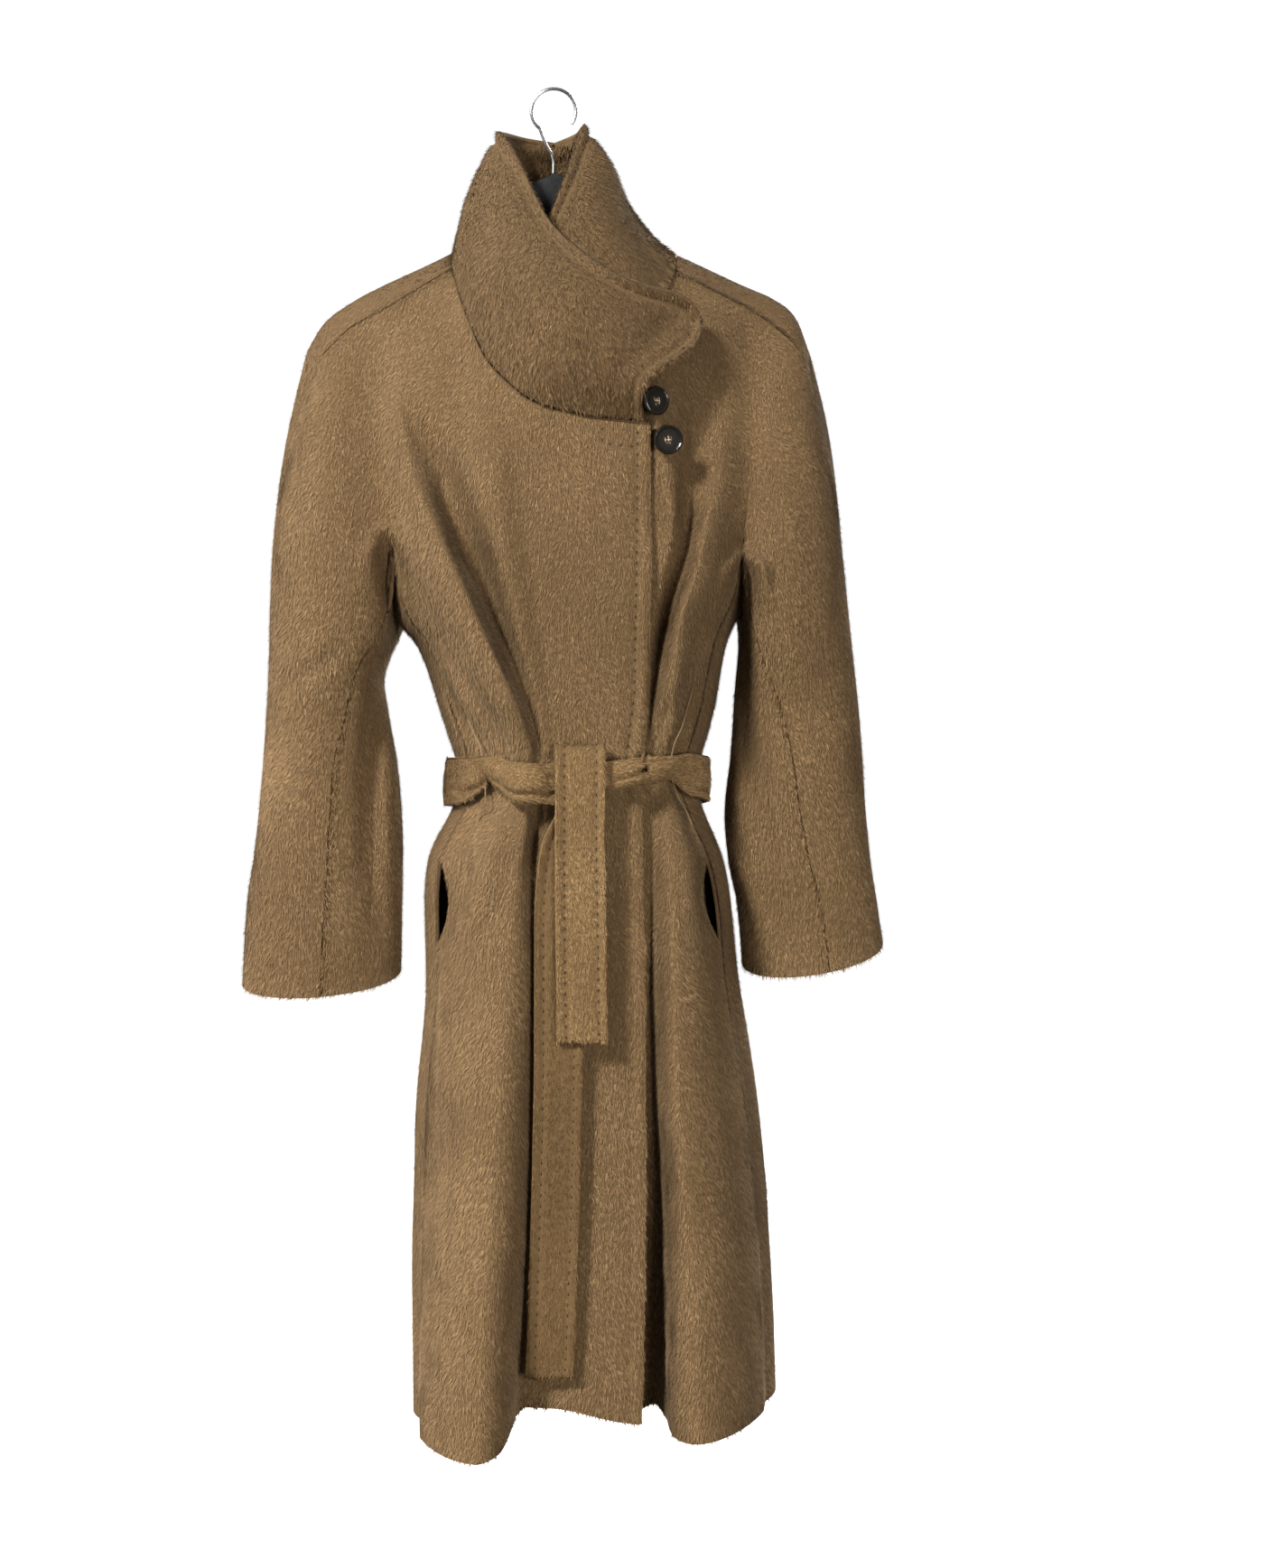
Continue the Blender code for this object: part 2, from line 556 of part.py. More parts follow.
def back_grids(overarm):
    """The back; overarm holds the seam lines it shares with the two fronts."""
    share = np.linspace(0, 1, BACK_COLS + 1)
    body = []
    for d in BODY_ROWS:
        settle = 1 - smoothstep((d - ARMPIT) / 190)
        body.append(back_point(share, np.full(BACK_COLS + 1, d + (BACK_ARMPIT - ARMPIT) * settle)))
    body = np.array(body)
    wings = {side: wing_grid(side) for side in ("right", "left")}
    arms = {
        "right": armpit_row("right", back_turns("right"), body[0, 0], SLEEVE_COLS + 1),
        "left": armpit_row("left", back_turns("left"), body[0, -1], SLEEVE_COLS + 1),
    }
    sleeves = {side: sleeve_leg(side, arms[side], back_turns(side), SLEEVE_ROWS) for side in arms}
    bottom = np.concatenate([arms["right"], body[0, 1:-1], arms["left"][::-1]])
    tops = []
    ridges = []
    for side in ("right", "left"):
        seam = SHOULDER_SEAM[side]
        arm_x = np.linspace(seam[0].x, SHOULDER_JOIN[side], SLEEVE_COLS + 1)
        x = np.concatenate([arm_x, SHOULDER_COLUMNS[side][1:]])
        ridge = SHOULDER_RIDGE[side]
        outer = np.linspace(ridge[0].x, SHOULDER_JOIN[side], SLEEVE_COLS)
        tops.append(table_point(seam, x))
        ridges.append(table_point(ridge, np.concatenate([outer[:1], outer, SHOULDER_COLUMNS[side][1:]])))
    x = np.linspace(BACK_NECK[0].x, BACK_NECK[-1].x, BACK_COLS - 2 * SHOULDER_COLS - 1)
    neck = table_point(BACK_NECK, x)
    top = np.concatenate([tops[0], neck, tops[1][::-1]])
    ridge = np.concatenate([ridges[0], neck + np.array([0, 5.0, 13.0]), ridges[1][::-1]])
    upper = upper_grid(ridge, bottom, np.linspace(0, 1, UPPER_ROWS), 2.2, BACK_FOLDS, 1)
    upper = np.concatenate([top[None], upper])
    upper[:, 0] = overarm["right"]
    upper[:, -1] = overarm["left"]
    return upper, sleeves, body, wings


def under_sleeve(side):
    return sleeve_leg(side, wing_grid(side)[0], under_turns(side), SLEEVE_ROWS)


def faces_of(grid, first=0):
    rows, cols = grid.shape[:2]
    at = first + np.arange(rows * cols).reshape(rows, cols)
    quads = np.stack([at[:-1, :-1], at[1:, :-1], at[1:, 1:], at[:-1, 1:]], -1)
    return quads.reshape(-1, 4)


class Cloth:
    """The coat's panels as one welded sheet, so that both sides of a seam bend alike."""

    def __init__(self):
        self.index = {}
        self.points = []
        self.panels = {}

    def add(self, panel, grid, flip):
        flat = grid.reshape(-1, 3)
        numbers = []
        for p in flat:
            key = tuple(np.round(p, 3))
            if key not in self.index:
                self.index[key] = len(self.points)
                self.points.append(p)
            numbers.append(self.index[key])
        for quad in faces_of(grid):
            face = [numbers[i] for i in quad]
            face = [n for i, n in enumerate(face) if n != face[i - 1]]
            if len(face) > 2:
                self.panels.setdefault(panel, []).append(face[::-1] if flip else face)
        return np.array(numbers).reshape(grid.shape[:2])

    def normals(self):
        points = np.array(self.points)
        total = np.zeros_like(points)
        for faces in self.panels.values():
            for face in faces:
                ring = points[face]
                area = np.cross(ring[2] - ring[0], ring[-1] - ring[1])
                total[face] += area
        return -total / np.maximum(np.linalg.norm(total, axis=1, keepdims=True), 1e-9)


def real(points):
    """Table millimetres to metres, with Z up."""
    p = np.asarray(points, float)
    return np.stack([p[..., 0], p[..., 1], -p[..., 2]], -1) * MM


def wall_mesh(name, points, faces, normals, thick, gap):
    """A closed wall: the outer faces, the inner ones a thickness behind, and a rim round the edge."""
    used = sorted({n for face in faces for n in face})
    place = {n: i for i, n in enumerate(used)}
    outer = np.array([points[n] for n in used], float)
    facing = np.array([normals[n] for n in used], float)
    local = [[place[n] for n in face] for face in faces]
    sides = {}
    for face in local:
        for a, b in zip(face, face[1:] + face[:1]):
            sides[(a, b)] = sides.get((a, b), 0) + 1
    border = [(a, b) for a, b in sides if (b, a) not in sides]
    inward = np.zeros_like(outer)
    for face in local:
        centre = outer[face].mean(0)
        for n in face:
            inward[n] += centre - outer[n]
    gaps = np.broadcast_to(gap, len(points))[used].copy()
    meets = np.bincount(np.concatenate(local), minlength=len(outer))
    gaps[(gaps == CREASE_GAP) & (meets == 1)] = CORNER_TRIM
    for n in {n for pair in border for n in pair}:
        pull = inward[n] - facing[n] * np.dot(inward[n], facing[n])
        outer[n] += pull / max(np.linalg.norm(pull), 1e-9) * gaps[n]
    inner = outer - facing * (thick if np.isscalar(thick) else np.asarray(thick)[used, None])
    count = len(outer)
    solid = list(local)
    solid += [[n + count for n in reversed(face)] for face in local]
    for a, b in border:
        solid.append([a, a + count, b + count, b] if a < b else [b, a, a + count, b + count])
    mesh = bpy.data.meshes.new(name)
    mesh.from_pydata([tuple(p) for p in real(np.concatenate([outer, inner]))], [], solid)
    mesh.validate()
    return mesh


def add_object(name, data, material, collection):
    thing = bpy.data.objects.new(name, data)
    data.materials.append(material)
    collection.objects.link(thing)
    return thing


def grid_normals(grid):
    along = np.gradient(grid, axis=0)
    across = np.gradient(grid, axis=1)
    facing = np.cross(across, along)
    return facing / np.maximum(np.linalg.norm(facing, axis=-1, keepdims=True), 1e-9)


def grid_wall(name, grid, thick, flip, gap=0.0, square_start=False):
    """A wall on its own grid; the grid is its outer side. A square start faces straight back."""
    facing = grid_normals(grid)
    if square_start:
        facing[:, 0, 0] = 0
        facing /= np.linalg.norm(facing, axis=-1, keepdims=True)
    if not np.isscalar(thick):
        thick = np.repeat(np.asarray(thick), grid.shape[1])
    faces = [list(f) for f in faces_of(grid)]
    if flip:
        faces = [f[::-1] for f in faces]
        facing = -facing
    return wall_mesh(name, grid.reshape(-1, 3), faces, facing.reshape(-1, 3), thick, gap)


def collar_grid(side):
    ribs = COLLAR[side]
    at = np.linspace(0, len(ribs) - 1, COLLAR_COLS[side] + 1)
    stop = np.arange(len(ribs))
    lines = []
    for part in ("seam", "mid", "edge"):
        lines.append(np.stack([glide(stop, [getattr(getattr(r, part), k) for r in ribs], at)
                               for k in ("x", "y", "down")], -1))
    seam, mid, edge = lines
    out = (mid - np.array(COLLAR_MIDDLE)) * np.array([1, 1, 0])
    out *= (glide(stop, [r.roll for r in ribs], at) / np.linalg.norm(out, axis=-1))[:, None]
    grid = []
    for t in np.linspace(0, 1, COLLAR_ROWS + 1):
        low = 2 * (t - 0.5) * (t - 1)
        high = 2 * t * (t - 0.5)
        grid.append(seam * low + mid * 4 * t * (1 - t) + edge * high - out * math.sin(2 * math.pi * t))
    grid = np.array(grid)
    rise = grid[1] - grid[0]
    grid[0] += rise / np.linalg.norm(rise, axis=-1, keepdims=True) * COLLAR_LIFT
    return grid


def waist_ring(turn, down):
    """The coat's outside at the waist; turn runs from the tie by the left side and back to the tie."""
    left = column(SECTIONS, "left", down)
    right = column(SECTIONS, "right", down)
    half = 0.5 * (right - left)
    middle = 0.5 * (right + left)
    start = math.asin((BELT_GAP_RIGHT - 22.5) / 110.0)
    stop = 2 * math.pi + math.asin((BELT_GAP_LEFT - 22.5) / 110.0)
    angle = start + (stop - start) * turn
    x = middle + half * np.sign(np.sin(angle)) * np.abs(np.sin(angle)) ** (2 / ROUND)
    side = column(SECTIONS, "side", down)
    ahead = np.cos(angle) > 0
    reach = np.where(ahead, column(SECTIONS, "front", down), column(SECTIONS, "back", down)) - side
    y = side + reach * np.abs(np.cos(angle)) ** (2 / ROUND)
    ahead_by = np.maximum(folds(FRONT_FOLDS, x, down), 0)
    behind_by = np.maximum(folds(BACK_FOLDS, x, down), 0)
    return np.stack([x, y + np.where(ahead, -ahead_by, behind_by), down + 0 * x], -1)


def belt_grid():
    turn = np.linspace(0, 1, BELT_STEPS + 1)
    mid = glide([b.turn for b in BELT_BAND], [b.mid for b in BELT_BAND], turn)
    height = glide([b.turn for b in BELT_BAND], [b.height for b in BELT_BAND], turn)
    stand = glide([b.turn for b in BELT_BAND], [b.stand for b in BELT_BAND], turn)
    grid = np.array([waist_ring(turn, mid + height * s) for s in (-0.5, -0.17, 0.17, 0.5)])
    away = grid_normals(grid)
    centre = grid.mean((0, 1))
    out = np.sign((away * (grid - centre) * np.array([1, 1, 0])).sum(-1, keepdims=True))
    return grid + away * out * (stand + BELT_WALL)[None, :, None]


def strap_grid(rows, steps):
    at = np.linspace(0, len(rows) - 1, (len(rows) - 1) * steps + 1)
    stop = np.arange(len(rows))
    x, y, down, width = (glide(stop, [getattr(r, k) for r in rows], at) for k in ("x", "y", "down", "width"))
    grid = [np.stack([x + width * s, y, down], -1) for s in (-0.5, -0.2, 0.2, 0.5)]
    return np.array(grid).transpose(1, 0, 2)


def bag_grid(side):
    """The pocket bag, made from the side's own points moved in."""
    downs = np.linspace(POCKET_BAG.top, POCKET_BAG.bottom, 9)
    way = 1 if side == "right" else -1
    grid = []
    for d in downs:
        seam = float(seam_x(side, d))
        row = []
        for s in np.linspace(-1, 1, 7):
            if s >= 0:
                x = seam + way * POCKET_BAG.front * s
                y = float(half_depth(np.array(x), d, "front"))
            else:
                p = wing_point(side, np.array([-s * 0.55]), np.array([d]))[0]
                x, y = p[0], p[1]
            t = (d - POCKET_BAG.top) / (POCKET_BAG.bottom - POCKET_BAG.top)
            hollow = POCKET_BAG.hollow * math.cos(0.5 * math.pi * s)
            hollow *= math.sin(math.pi * min(1, t * 0.8 + 0.1))
            middle = 0.5 * float(outer_x("left", d) + outer_x("right", d))
            inward = np.array([0.5 * (middle - x), 10.0 - y])
            inward /= np.linalg.norm(inward)
            move = WALL + POCKET_BAG.clear + hollow
            row.append([x + inward[0] * move, y + inward[1] * move, d])
        grid.append(row)
    return np.array(grid)


def poly_curve(name, points, radius, corners):
    curve = bpy.data.curves.new(name, "CURVE")
    curve.dimensions = "3D"
    curve.bevel_depth = radius * MM
    curve.bevel_resolution = corners
    curve.use_fill_caps = True
    line = curve.splines.new("POLY")
    line.points.add(len(points) - 1)
    for knot, p in zip(line.points, real(points)):
        knot.co = (p[0], p[1], p[2], 1)
    return curve


def carrier_line(side):
    """The thread's line, made from the front's own points moved out."""
    rows = CARRIERS[side]
    stop = np.arange(len(rows))
    at = np.linspace(0, stop[-1], 4 * stop[-1] + 1)
    x, down, stand = (glide(stop, [getattr(r, k) for r in rows], at) for k in Thread._fields)
    y = front_y(side, x, down) - folds(front_folds(side), x, down) - stand
    return np.stack([x, y, down], -1)


def hook_points():
    radius = HOOK_INNER + HOOK_WIRE
    middle = HOOK_INNER
    points = [(0, 0, HOOK_SOCKET), (0, 0, 66), (-1.5, 0, 59), (-7, 0, 50)]
    for turn in np.linspace(232, -35, 26):
        angle = math.radians(turn)
        points.append((radius * math.cos(angle), 0, middle - radius * math.sin(angle)))
    return np.array(points, float)


def hanger_outline(collection, material):
    x = np.array([b.x for b in HANGER])
    fine = np.linspace(0, x[-1], 22)
    top = glide(x, [b.top for b in HANGER], fine)
    bottom = glide(x, [b.bottom for b in HANGER], fine)
    ring = [(-a, t) for a, t in zip(fine[:0:-1], top[:0:-1])]
    ring += [(a, t) for a, t in zip(fine, top)]
    ring += [(a, b) for a, b in zip(fine[::-1], bottom[::-1])]
    ring += [(-a, b) for a, b in zip(fine[1:], bottom[1:])]
    curve = bpy.data.curves.new("hanger_body", "CURVE")
    curve.dimensions = "2D"
    curve.fill_mode = "BOTH"
    curve.extrude = (0.5 * HANGER_THICK - HANGER_EDGE) * MM
    curve.bevel_depth = HANGER_EDGE * MM
    curve.bevel_resolution = 0
    curve.offset = -HANGER_EDGE * MM
    line = curve.splines.new("POLY")
    line.points.add(len(ring) - 1)
    for knot, (a, d) in zip(line.points, ring):
        knot.co = (a * MM, -d * MM, 0, 1)
    line.use_cyclic_u = True
    bar = add_object("hanger_body", curve, material, collection)
    roll = Matrix.Rotation(-math.radians(HANGER_ROLL_DEG), 4, "Y")
    bar.matrix_world = roll @ Matrix.Rotation(math.radians(90), 4, "X")
    return bar


def tool_cylinder(name, radius, depth, place, tools):
    mesh = bpy.data.meshes.new(name)
    shape = bmesh.new()
    bmesh.ops.create_cone(shape, cap_ends=True, segments=12, radius1=radius * MM, radius2=radius * MM,
                          depth=depth * MM)
    shape.to_mesh(mesh)
    shape.free()
    thing = bpy.data.objects.new(name, mesh)
    thing.matrix_world = place
    thing.hide_render = True
    thing.display_type = "WIRE"
    tools.objects.link(thing)
    return thing


def add_button(name, spec, material, collection, tools):
    """A turned disc with a raised rim, its four holes and the thread stem behind it."""
    half = 0.5 * BUTTON_DEPTH
    edge = BUTTON_RADIUS
    dish = edge - BUTTON_RIM
    profile = [(0, -half), (edge - 2.5, -half), (edge - 0.5, -half + 1.2), (edge, 0.4)]
    profile += [(edge - 0.8, half - 0.3), (edge - 1.6, half), (dish, half - 0.5)]
    profile += [(dish - 1, half - BUTTON_DISH), (0, half - BUTTON_DISH)]
    mesh = bpy.data.meshes.new(name)
    links = [(i, i + 1) for i in range(len(profile) - 1)]
    mesh.from_pydata([(r * MM, 0, h * MM) for r, h in profile], links, [])
    disc = add_object(name, mesh, material, collection)
    face = Matrix.Translation(real((spec.x, spec.y, spec.down)).tolist())
    face = face @ Matrix.Rotation(math.radians(spec.turn), 4, "Z") @ Matrix.Rotation(math.radians(90), 4, "X")
    disc.matrix_world = face
    turned = disc.modifiers.new("turned", "SCREW")
    turned.angle = 2 * math.pi
    turned.steps = 22
    turned.render_steps = 22
    turned.axis = "Z"
    turned.use_merge_vertices = True
    turned.merge_threshold = 0.00005
    turned.use_normal_calculate = True
    reach = 0.5 * HOLE_PITCH
    for i, (a, b) in enumerate(((-1, -1), (1, -1), (1, 1), (-1, 1))):
        spot = face @ Matrix.Translation((a * reach * MM, b * reach * MM, 0))
        cutter = tool_cylinder(f"{name}_hole_{i}", HOLE_RADIUS, BUTTON_DEPTH * 3, spot, tools)
        cut = disc.modifiers.new(f"hole_{i}", "BOOLEAN")
        cut.operation = "DIFFERENCE"
        cut.solver = "EXACT"
        cut.object = cutter
    return disc


def add_stem(name, spec, material, collection):
    """The wound thread between a button and the front it is sewn to."""
    turn = math.radians(spec.turn)
    back = 0.5 * BUTTON_DEPTH + 0.4 + SHANK_RADIUS * math.sin(turn)
    start = (spec.x - back * math.sin(turn), spec.y + back * math.cos(turn), spec.down)
    end = (start[0], spec.foot, spec.down)
    wound = poly_curve(name, np.array([start, end], float), SHANK_RADIUS, 1)
    return add_object(name, wound, material, collection)


def material(name, colour, rough, metal=0.0):
    made = bpy.data.materials.new(name)
    made.use_nodes = True
    shader = made.node_tree.nodes["Principled BSDF"]
    shader.inputs["Base Color"].default_value = colour
    shader.inputs["Roughness"].default_value = rough
    shader.inputs["Metallic"].default_value = metal
    return made


def build():
    for old in list(bpy.data.objects):
        bpy.data.objects.remove(old, do_unlink=True)
    scene = bpy.context.scene
    coat = bpy.data.collections.new("belted_coat")
    tools = bpy.data.collections.new("cutters")
    scene.collection.children.link(coat)
    scene.collection.children.link(tools)
    cloth_look = material("pile_cloth", CLOTH_COLOUR, 0.95)
    pocket_look = material("pocket_cloth", POCKET_COLOUR, 0.95)
    belt_look = material("belt_cloth", BELT_COLOUR, 0.95)
    thread_look = material("thread", BELT_COLOUR, 0.8)
    horn_look = material("horn", HORN_COLOUR, 0.25)
    hanger_look = material("hanger_bar", HANGER_COLOUR, 0.5)
    wire_look = material("hook_wire", WIRE_COLOUR, 0.25, 1.0)

    cloth = Cloth()
    fronts = {"right": front_grids("right", RIGHT_COLS), "left": front_grids("left", LEFT_COLS)}
    for side, grids in fronts.items():
        for grid in grids:
            cloth.add("front_" + side, grid, side == "left")
    upper, sleeves, body, wings = back_grids({side: grids[0][:, 0] for side, grids in fronts.items()})
    cloth.add("back", upper, True)
    cloth.add("back", body, True)
    cloth.add("back", sleeves["right"], True)
    cloth.add("back", sleeves["left"], False)
    creases = [cloth.add("back", wings["right"], True)[0], cloth.add("back", wings["left"], False)[0]]
    cloth.add("under_sleeve_right", under_sleeve("right"), False)
    cloth.add("under_sleeve_left", under_sleeve("left"), True)
    facing = cloth.normals()
    gaps = np.full(len(cloth.points), SEAM_GAP)
    gaps[np.concatenate(creases)] = CREASE_GAP
    for panel, faces in cloth.panels.items():
        add_object(panel, wall_mesh(panel, cloth.points, faces, facing, WALL, gaps), cloth_look, coat)

    collar_walls = WALL + (COLLAR_WALL - WALL) * smoothstep(np.linspace(0, 2, COLLAR_ROWS + 1))
    for side in ("right", "left"):
        name = "collar_" + side
        shape = grid_wall(name, collar_grid(side), collar_walls, side == "right", square_start=True)
        add_object(name, shape, cloth_look, coat)
    for side in ("right", "left"):
        name = "pocket_" + side
        shape = grid_wall(name, bag_grid(side), POCKET_BAG.wall, side == "left")
        add_object(name, shape, pocket_look, coat)
    add_object("belt_round", grid_wall("belt_round", belt_grid(), BELT_WALL, False), belt_look, coat)
    for name, rows in (("belt_tail_short", TAIL_SHORT), ("belt_tail_long", TAIL_LONG)):
        add_object(name, grid_wall(name, strap_grid(rows, TAIL_STEPS), BELT_WALL, False), belt_look, coat)
    for side in CARRIERS:
        name = "belt_carrier_" + side
        add_object(name, poly_curve(name, carrier_line(side), THREAD, 1), thread_look, coat)
    for which, spec in BUTTONS.items():
        add_button("button_" + which, spec, horn_look, coat, tools)
        add_stem("button_stem_" + which, spec, thread_look, coat)
    hanger_outline(coat, hanger_look)
    add_object("hanger_hook", poly_curve("hanger_hook", hook_points(), HOOK_WIRE, 2), wire_look, coat)


build()
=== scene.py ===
# The belted coat as it looks: napped shells on the solids' own form, in millimetre tables like the part's.
import math
from collections import namedtuple

import bpy
import numpy as np
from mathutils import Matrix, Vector


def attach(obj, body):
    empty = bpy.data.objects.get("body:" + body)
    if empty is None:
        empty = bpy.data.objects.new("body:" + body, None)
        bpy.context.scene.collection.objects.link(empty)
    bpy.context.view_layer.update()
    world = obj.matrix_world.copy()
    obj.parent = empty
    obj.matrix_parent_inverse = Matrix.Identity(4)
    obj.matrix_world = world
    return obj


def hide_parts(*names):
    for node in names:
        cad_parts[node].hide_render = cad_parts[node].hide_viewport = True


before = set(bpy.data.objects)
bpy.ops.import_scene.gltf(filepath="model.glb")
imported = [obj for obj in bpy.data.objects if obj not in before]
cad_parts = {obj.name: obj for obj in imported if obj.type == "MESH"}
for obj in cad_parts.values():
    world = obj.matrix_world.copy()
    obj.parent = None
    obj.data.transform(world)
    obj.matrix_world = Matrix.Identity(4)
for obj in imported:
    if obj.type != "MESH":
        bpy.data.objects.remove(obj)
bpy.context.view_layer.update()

MM = 0.001
WALL = 3.0
COLLAR_WALL = 6.0
BELT_WALL = 5.0
ROUND = 2.4
SEAM_INSET = 15.0
BACK_INSET = 20.0
ARMPIT = 425.0
BACK_ARMPIT = 440.0
UNDERARM = 482.0
HEM = 1215.0
OVERARM_DEG = 15.0
UNDERLAP = 88.0
OUTLINE_BULGE = 5.0
# Sides are the wearer's, so the right lies towards lower x.
OUTWARD = {"right": -1, "left": 1}
# The underarm's dip dies away over this length, and the armpit's own ring over this share of the sleeve.
UNDERARM_RUN = 190.0
ARM_SETTLE = 0.4
# How quickly the cloth comes out from the shoulder to its depth at the armpit.
FRONT_EASE = 1.8
BACK_EASE = 2.2
UNDERARM_ROUND = 0.8
CARRIER_STEPS = 4
# The step from the back neck to the row below it, and how far the shoulder stands up between seam and ridge.
NECK_STEP = (0, 5.0, 13.0)
SHOULDER_RISE = 2.0
# The waist's middle and half its width, from which the belt's ends at the tie are worked out.
BELT_MIDDLE = 22.5
BELT_HALF = 110.0
# How far round the side the pocket bag reaches, its points, and how it closes at top and bottom.
BAG_SHARE = 0.55
BAG_ROWS = 9
BAG_COLS = 7
BAG_TUCK = 0.1
BAG_DEPTH_MIDDLE = 10.0

SLEEVE_COLS = 6
SHOULDER_COLS = 4
RIGHT_COLS = 20
LEFT_COLS = 16
BACK_COLS = 16
WING_COLS = 4
UPPER_ROWS = 7
CREST_COLS = 3
FLANK_COLS = {"right": 5, "left": 4}
SLEEVE_ROWS = (0, 0.06, 0.13, 0.21, 0.3, 0.41, 0.54, 0.68, 0.84, 1)
BODY_ROWS = (425, 452, 480, 508, 538, 566, 590, 612, 634, 656, 678, 704, 728, 754, 782, 830, 890, 960, 1040,
             1130, 1215)


def listed(kind, *lines):
    """A table whose columns have the kind's names."""
    return tuple(kind(*line) for line in lines)


def tables(kind, named):
    """Several such tables, each under its name."""
    return {name: listed(kind, *lines) for name, lines in named.items()}


Section = namedtuple("Section", "down left right side front back")
SECTIONS = listed(
    Section, (425, -158, 186, 4, -92, 84), (470, -150, 177, 6, -92, 86), (490, -142, 168, 7, -91, 86),
    (510, -127, 160, 8, -90, 85), (568, -105, 148, 8, -88, 79), (612, -90, 135, 8, -85, 72),
    (634, -83, 128, 8, -83, 69), (660, -93, 137, 8, -84, 74), (711, -116, 157, 10, -85, 88),
    (749, -119, 164, 12, -86, 97), (815, -119, 171, 14, -86, 105), (949, -128, 191, 18, -86, 118),
    (1114, -131, 202, 22, -84, 128), (1215, -131, 205, 24, -84, 132)
)

Sleeve = namedtuple("Sleeve", "down outer inner mid depth front_seam back_seam")
SLEEVES = tables(Sleeve, {
    "right": (
        (425, -257, -144, 0, 54, 172, 188), (490, -261, -147, 4, 55, 155, 205),
        (540, -263, -159, 7, 54, 128, 230), (569, -264.5, -154, 9, 53, 116, 244),
        (625, -268, -145, 12, 50, 98, 258), (705, -278, -140, 15, 45, 94, 262),
        (745, -285, -140.5, 16, 43, 94, 262), (830, -290, -142, 18, 38, 93, 264),
    ),
    "left": (
        (425, 265, 172, 0, 54, 172, 188), (490, 272.5, 175, 6, 54, 150, 205),
        (556, 280, 168, 14, 52, 112, 240), (611, 284.5, 163, 18, 50, 97, 256),
        (666, 288.5, 157.5, 23, 48, 88, 262), (711, 293.5, 161.5, 26, 45, 84, 263),
        (745, 300, 168.5, 29, 43, 81, 264), (820, 312, 175, 32, 40, 81, 264),
    ),
})
Cuff = namedtuple("Cuff", "outer front inner back")
CUFFS = {"right": Cuff(822, 832, 811, 800), "left": Cuff(784, 812, 806, 776)}

Point = namedtuple("Point", "x y down")
SHOULDER_SEAM = tables(Point, {
    "right": (
        (-216, -20, 258), (-208, -21, 244), (-186, -22, 222), (-162, -23, 209), (-136, -24, 196),
        (-93, -26, 169),
    ),
    "left": (
        (230, -20, 256), (221, -21, 237), (191, -22, 213), (164, -23, 198), (134, -24, 184),
        (113, -26, 173),
    ),
})
SHOULDER_RIDGE = tables(Point, {
    "right": (
        (-226, -3, 239), (-218, -2, 222), (-205, -1, 208), (-180, 0, 192), (-136, 1, 169), (-94, 3, 148),
    ),
    "left": (
        (235, -3, 242), (230, -2, 221), (217, -1, 202), (200, 0, 190), (157, 1, 171), (113, 3, 151),
    ),
})
FRONT_NECK = tables(Point, {
    "right": (
        (-93, -26, 169), (-77, -52, 219), (-56, -72, 264), (-27, -86, 293), (-7, -91, 305), (33, -95, 315),
        (89, -96, 321),
    ),
    "left": (
        (113, -26, 173), (98, -54, 217), (78, -72, 262), (50, -81, 292), (20, -84, 305), (-1, -85, 310),
    ),
})
BACK_NECK = listed(
    Point, (-92, 16, 147), (-82, 42, 136), (-60, 63, 124), (-30, 74, 118), (8, 78, 115), (45, 74, 118),
    (78, 63, 124), (101, 42, 136), (111, 16, 149)
)
SHOULDER_JOIN = {"right": -165.0, "left": 186.0}
SHOULDER_COLUMNS = {"right": (-165, -160, -155, -150, -93), "left": (186, 182, 178, 174, 113)}

Edge = namedtuple("Edge", "down x lap")
FRONT_EDGE = listed(
    Edge, (300, 89.5, 6), (425, 89.5, 7), (560, 87, 8), (634, 80, 8), (664, 81, 8), (804, 84, 14),
    (950, 85, 24), (1100, 84, 36), (1215, 81, 46)
)
LAP_FLOOR = 10.0
LAP_FADE = 18.0
Hem = namedtuple("Hem", "x lift")
FRONT_HEM = listed(
    Hem, (-131, 0), (-65, -4), (-42, 0), (-22, 26), (0, 26), (78, 12), (92, 17), (108, 8), (165, 13),
    (205, 18)
)
BACK_HEM = listed(
    Hem, (-131, 0), (60, 3), (185, 16), (205, 18)
)
HEM_START = 900.0

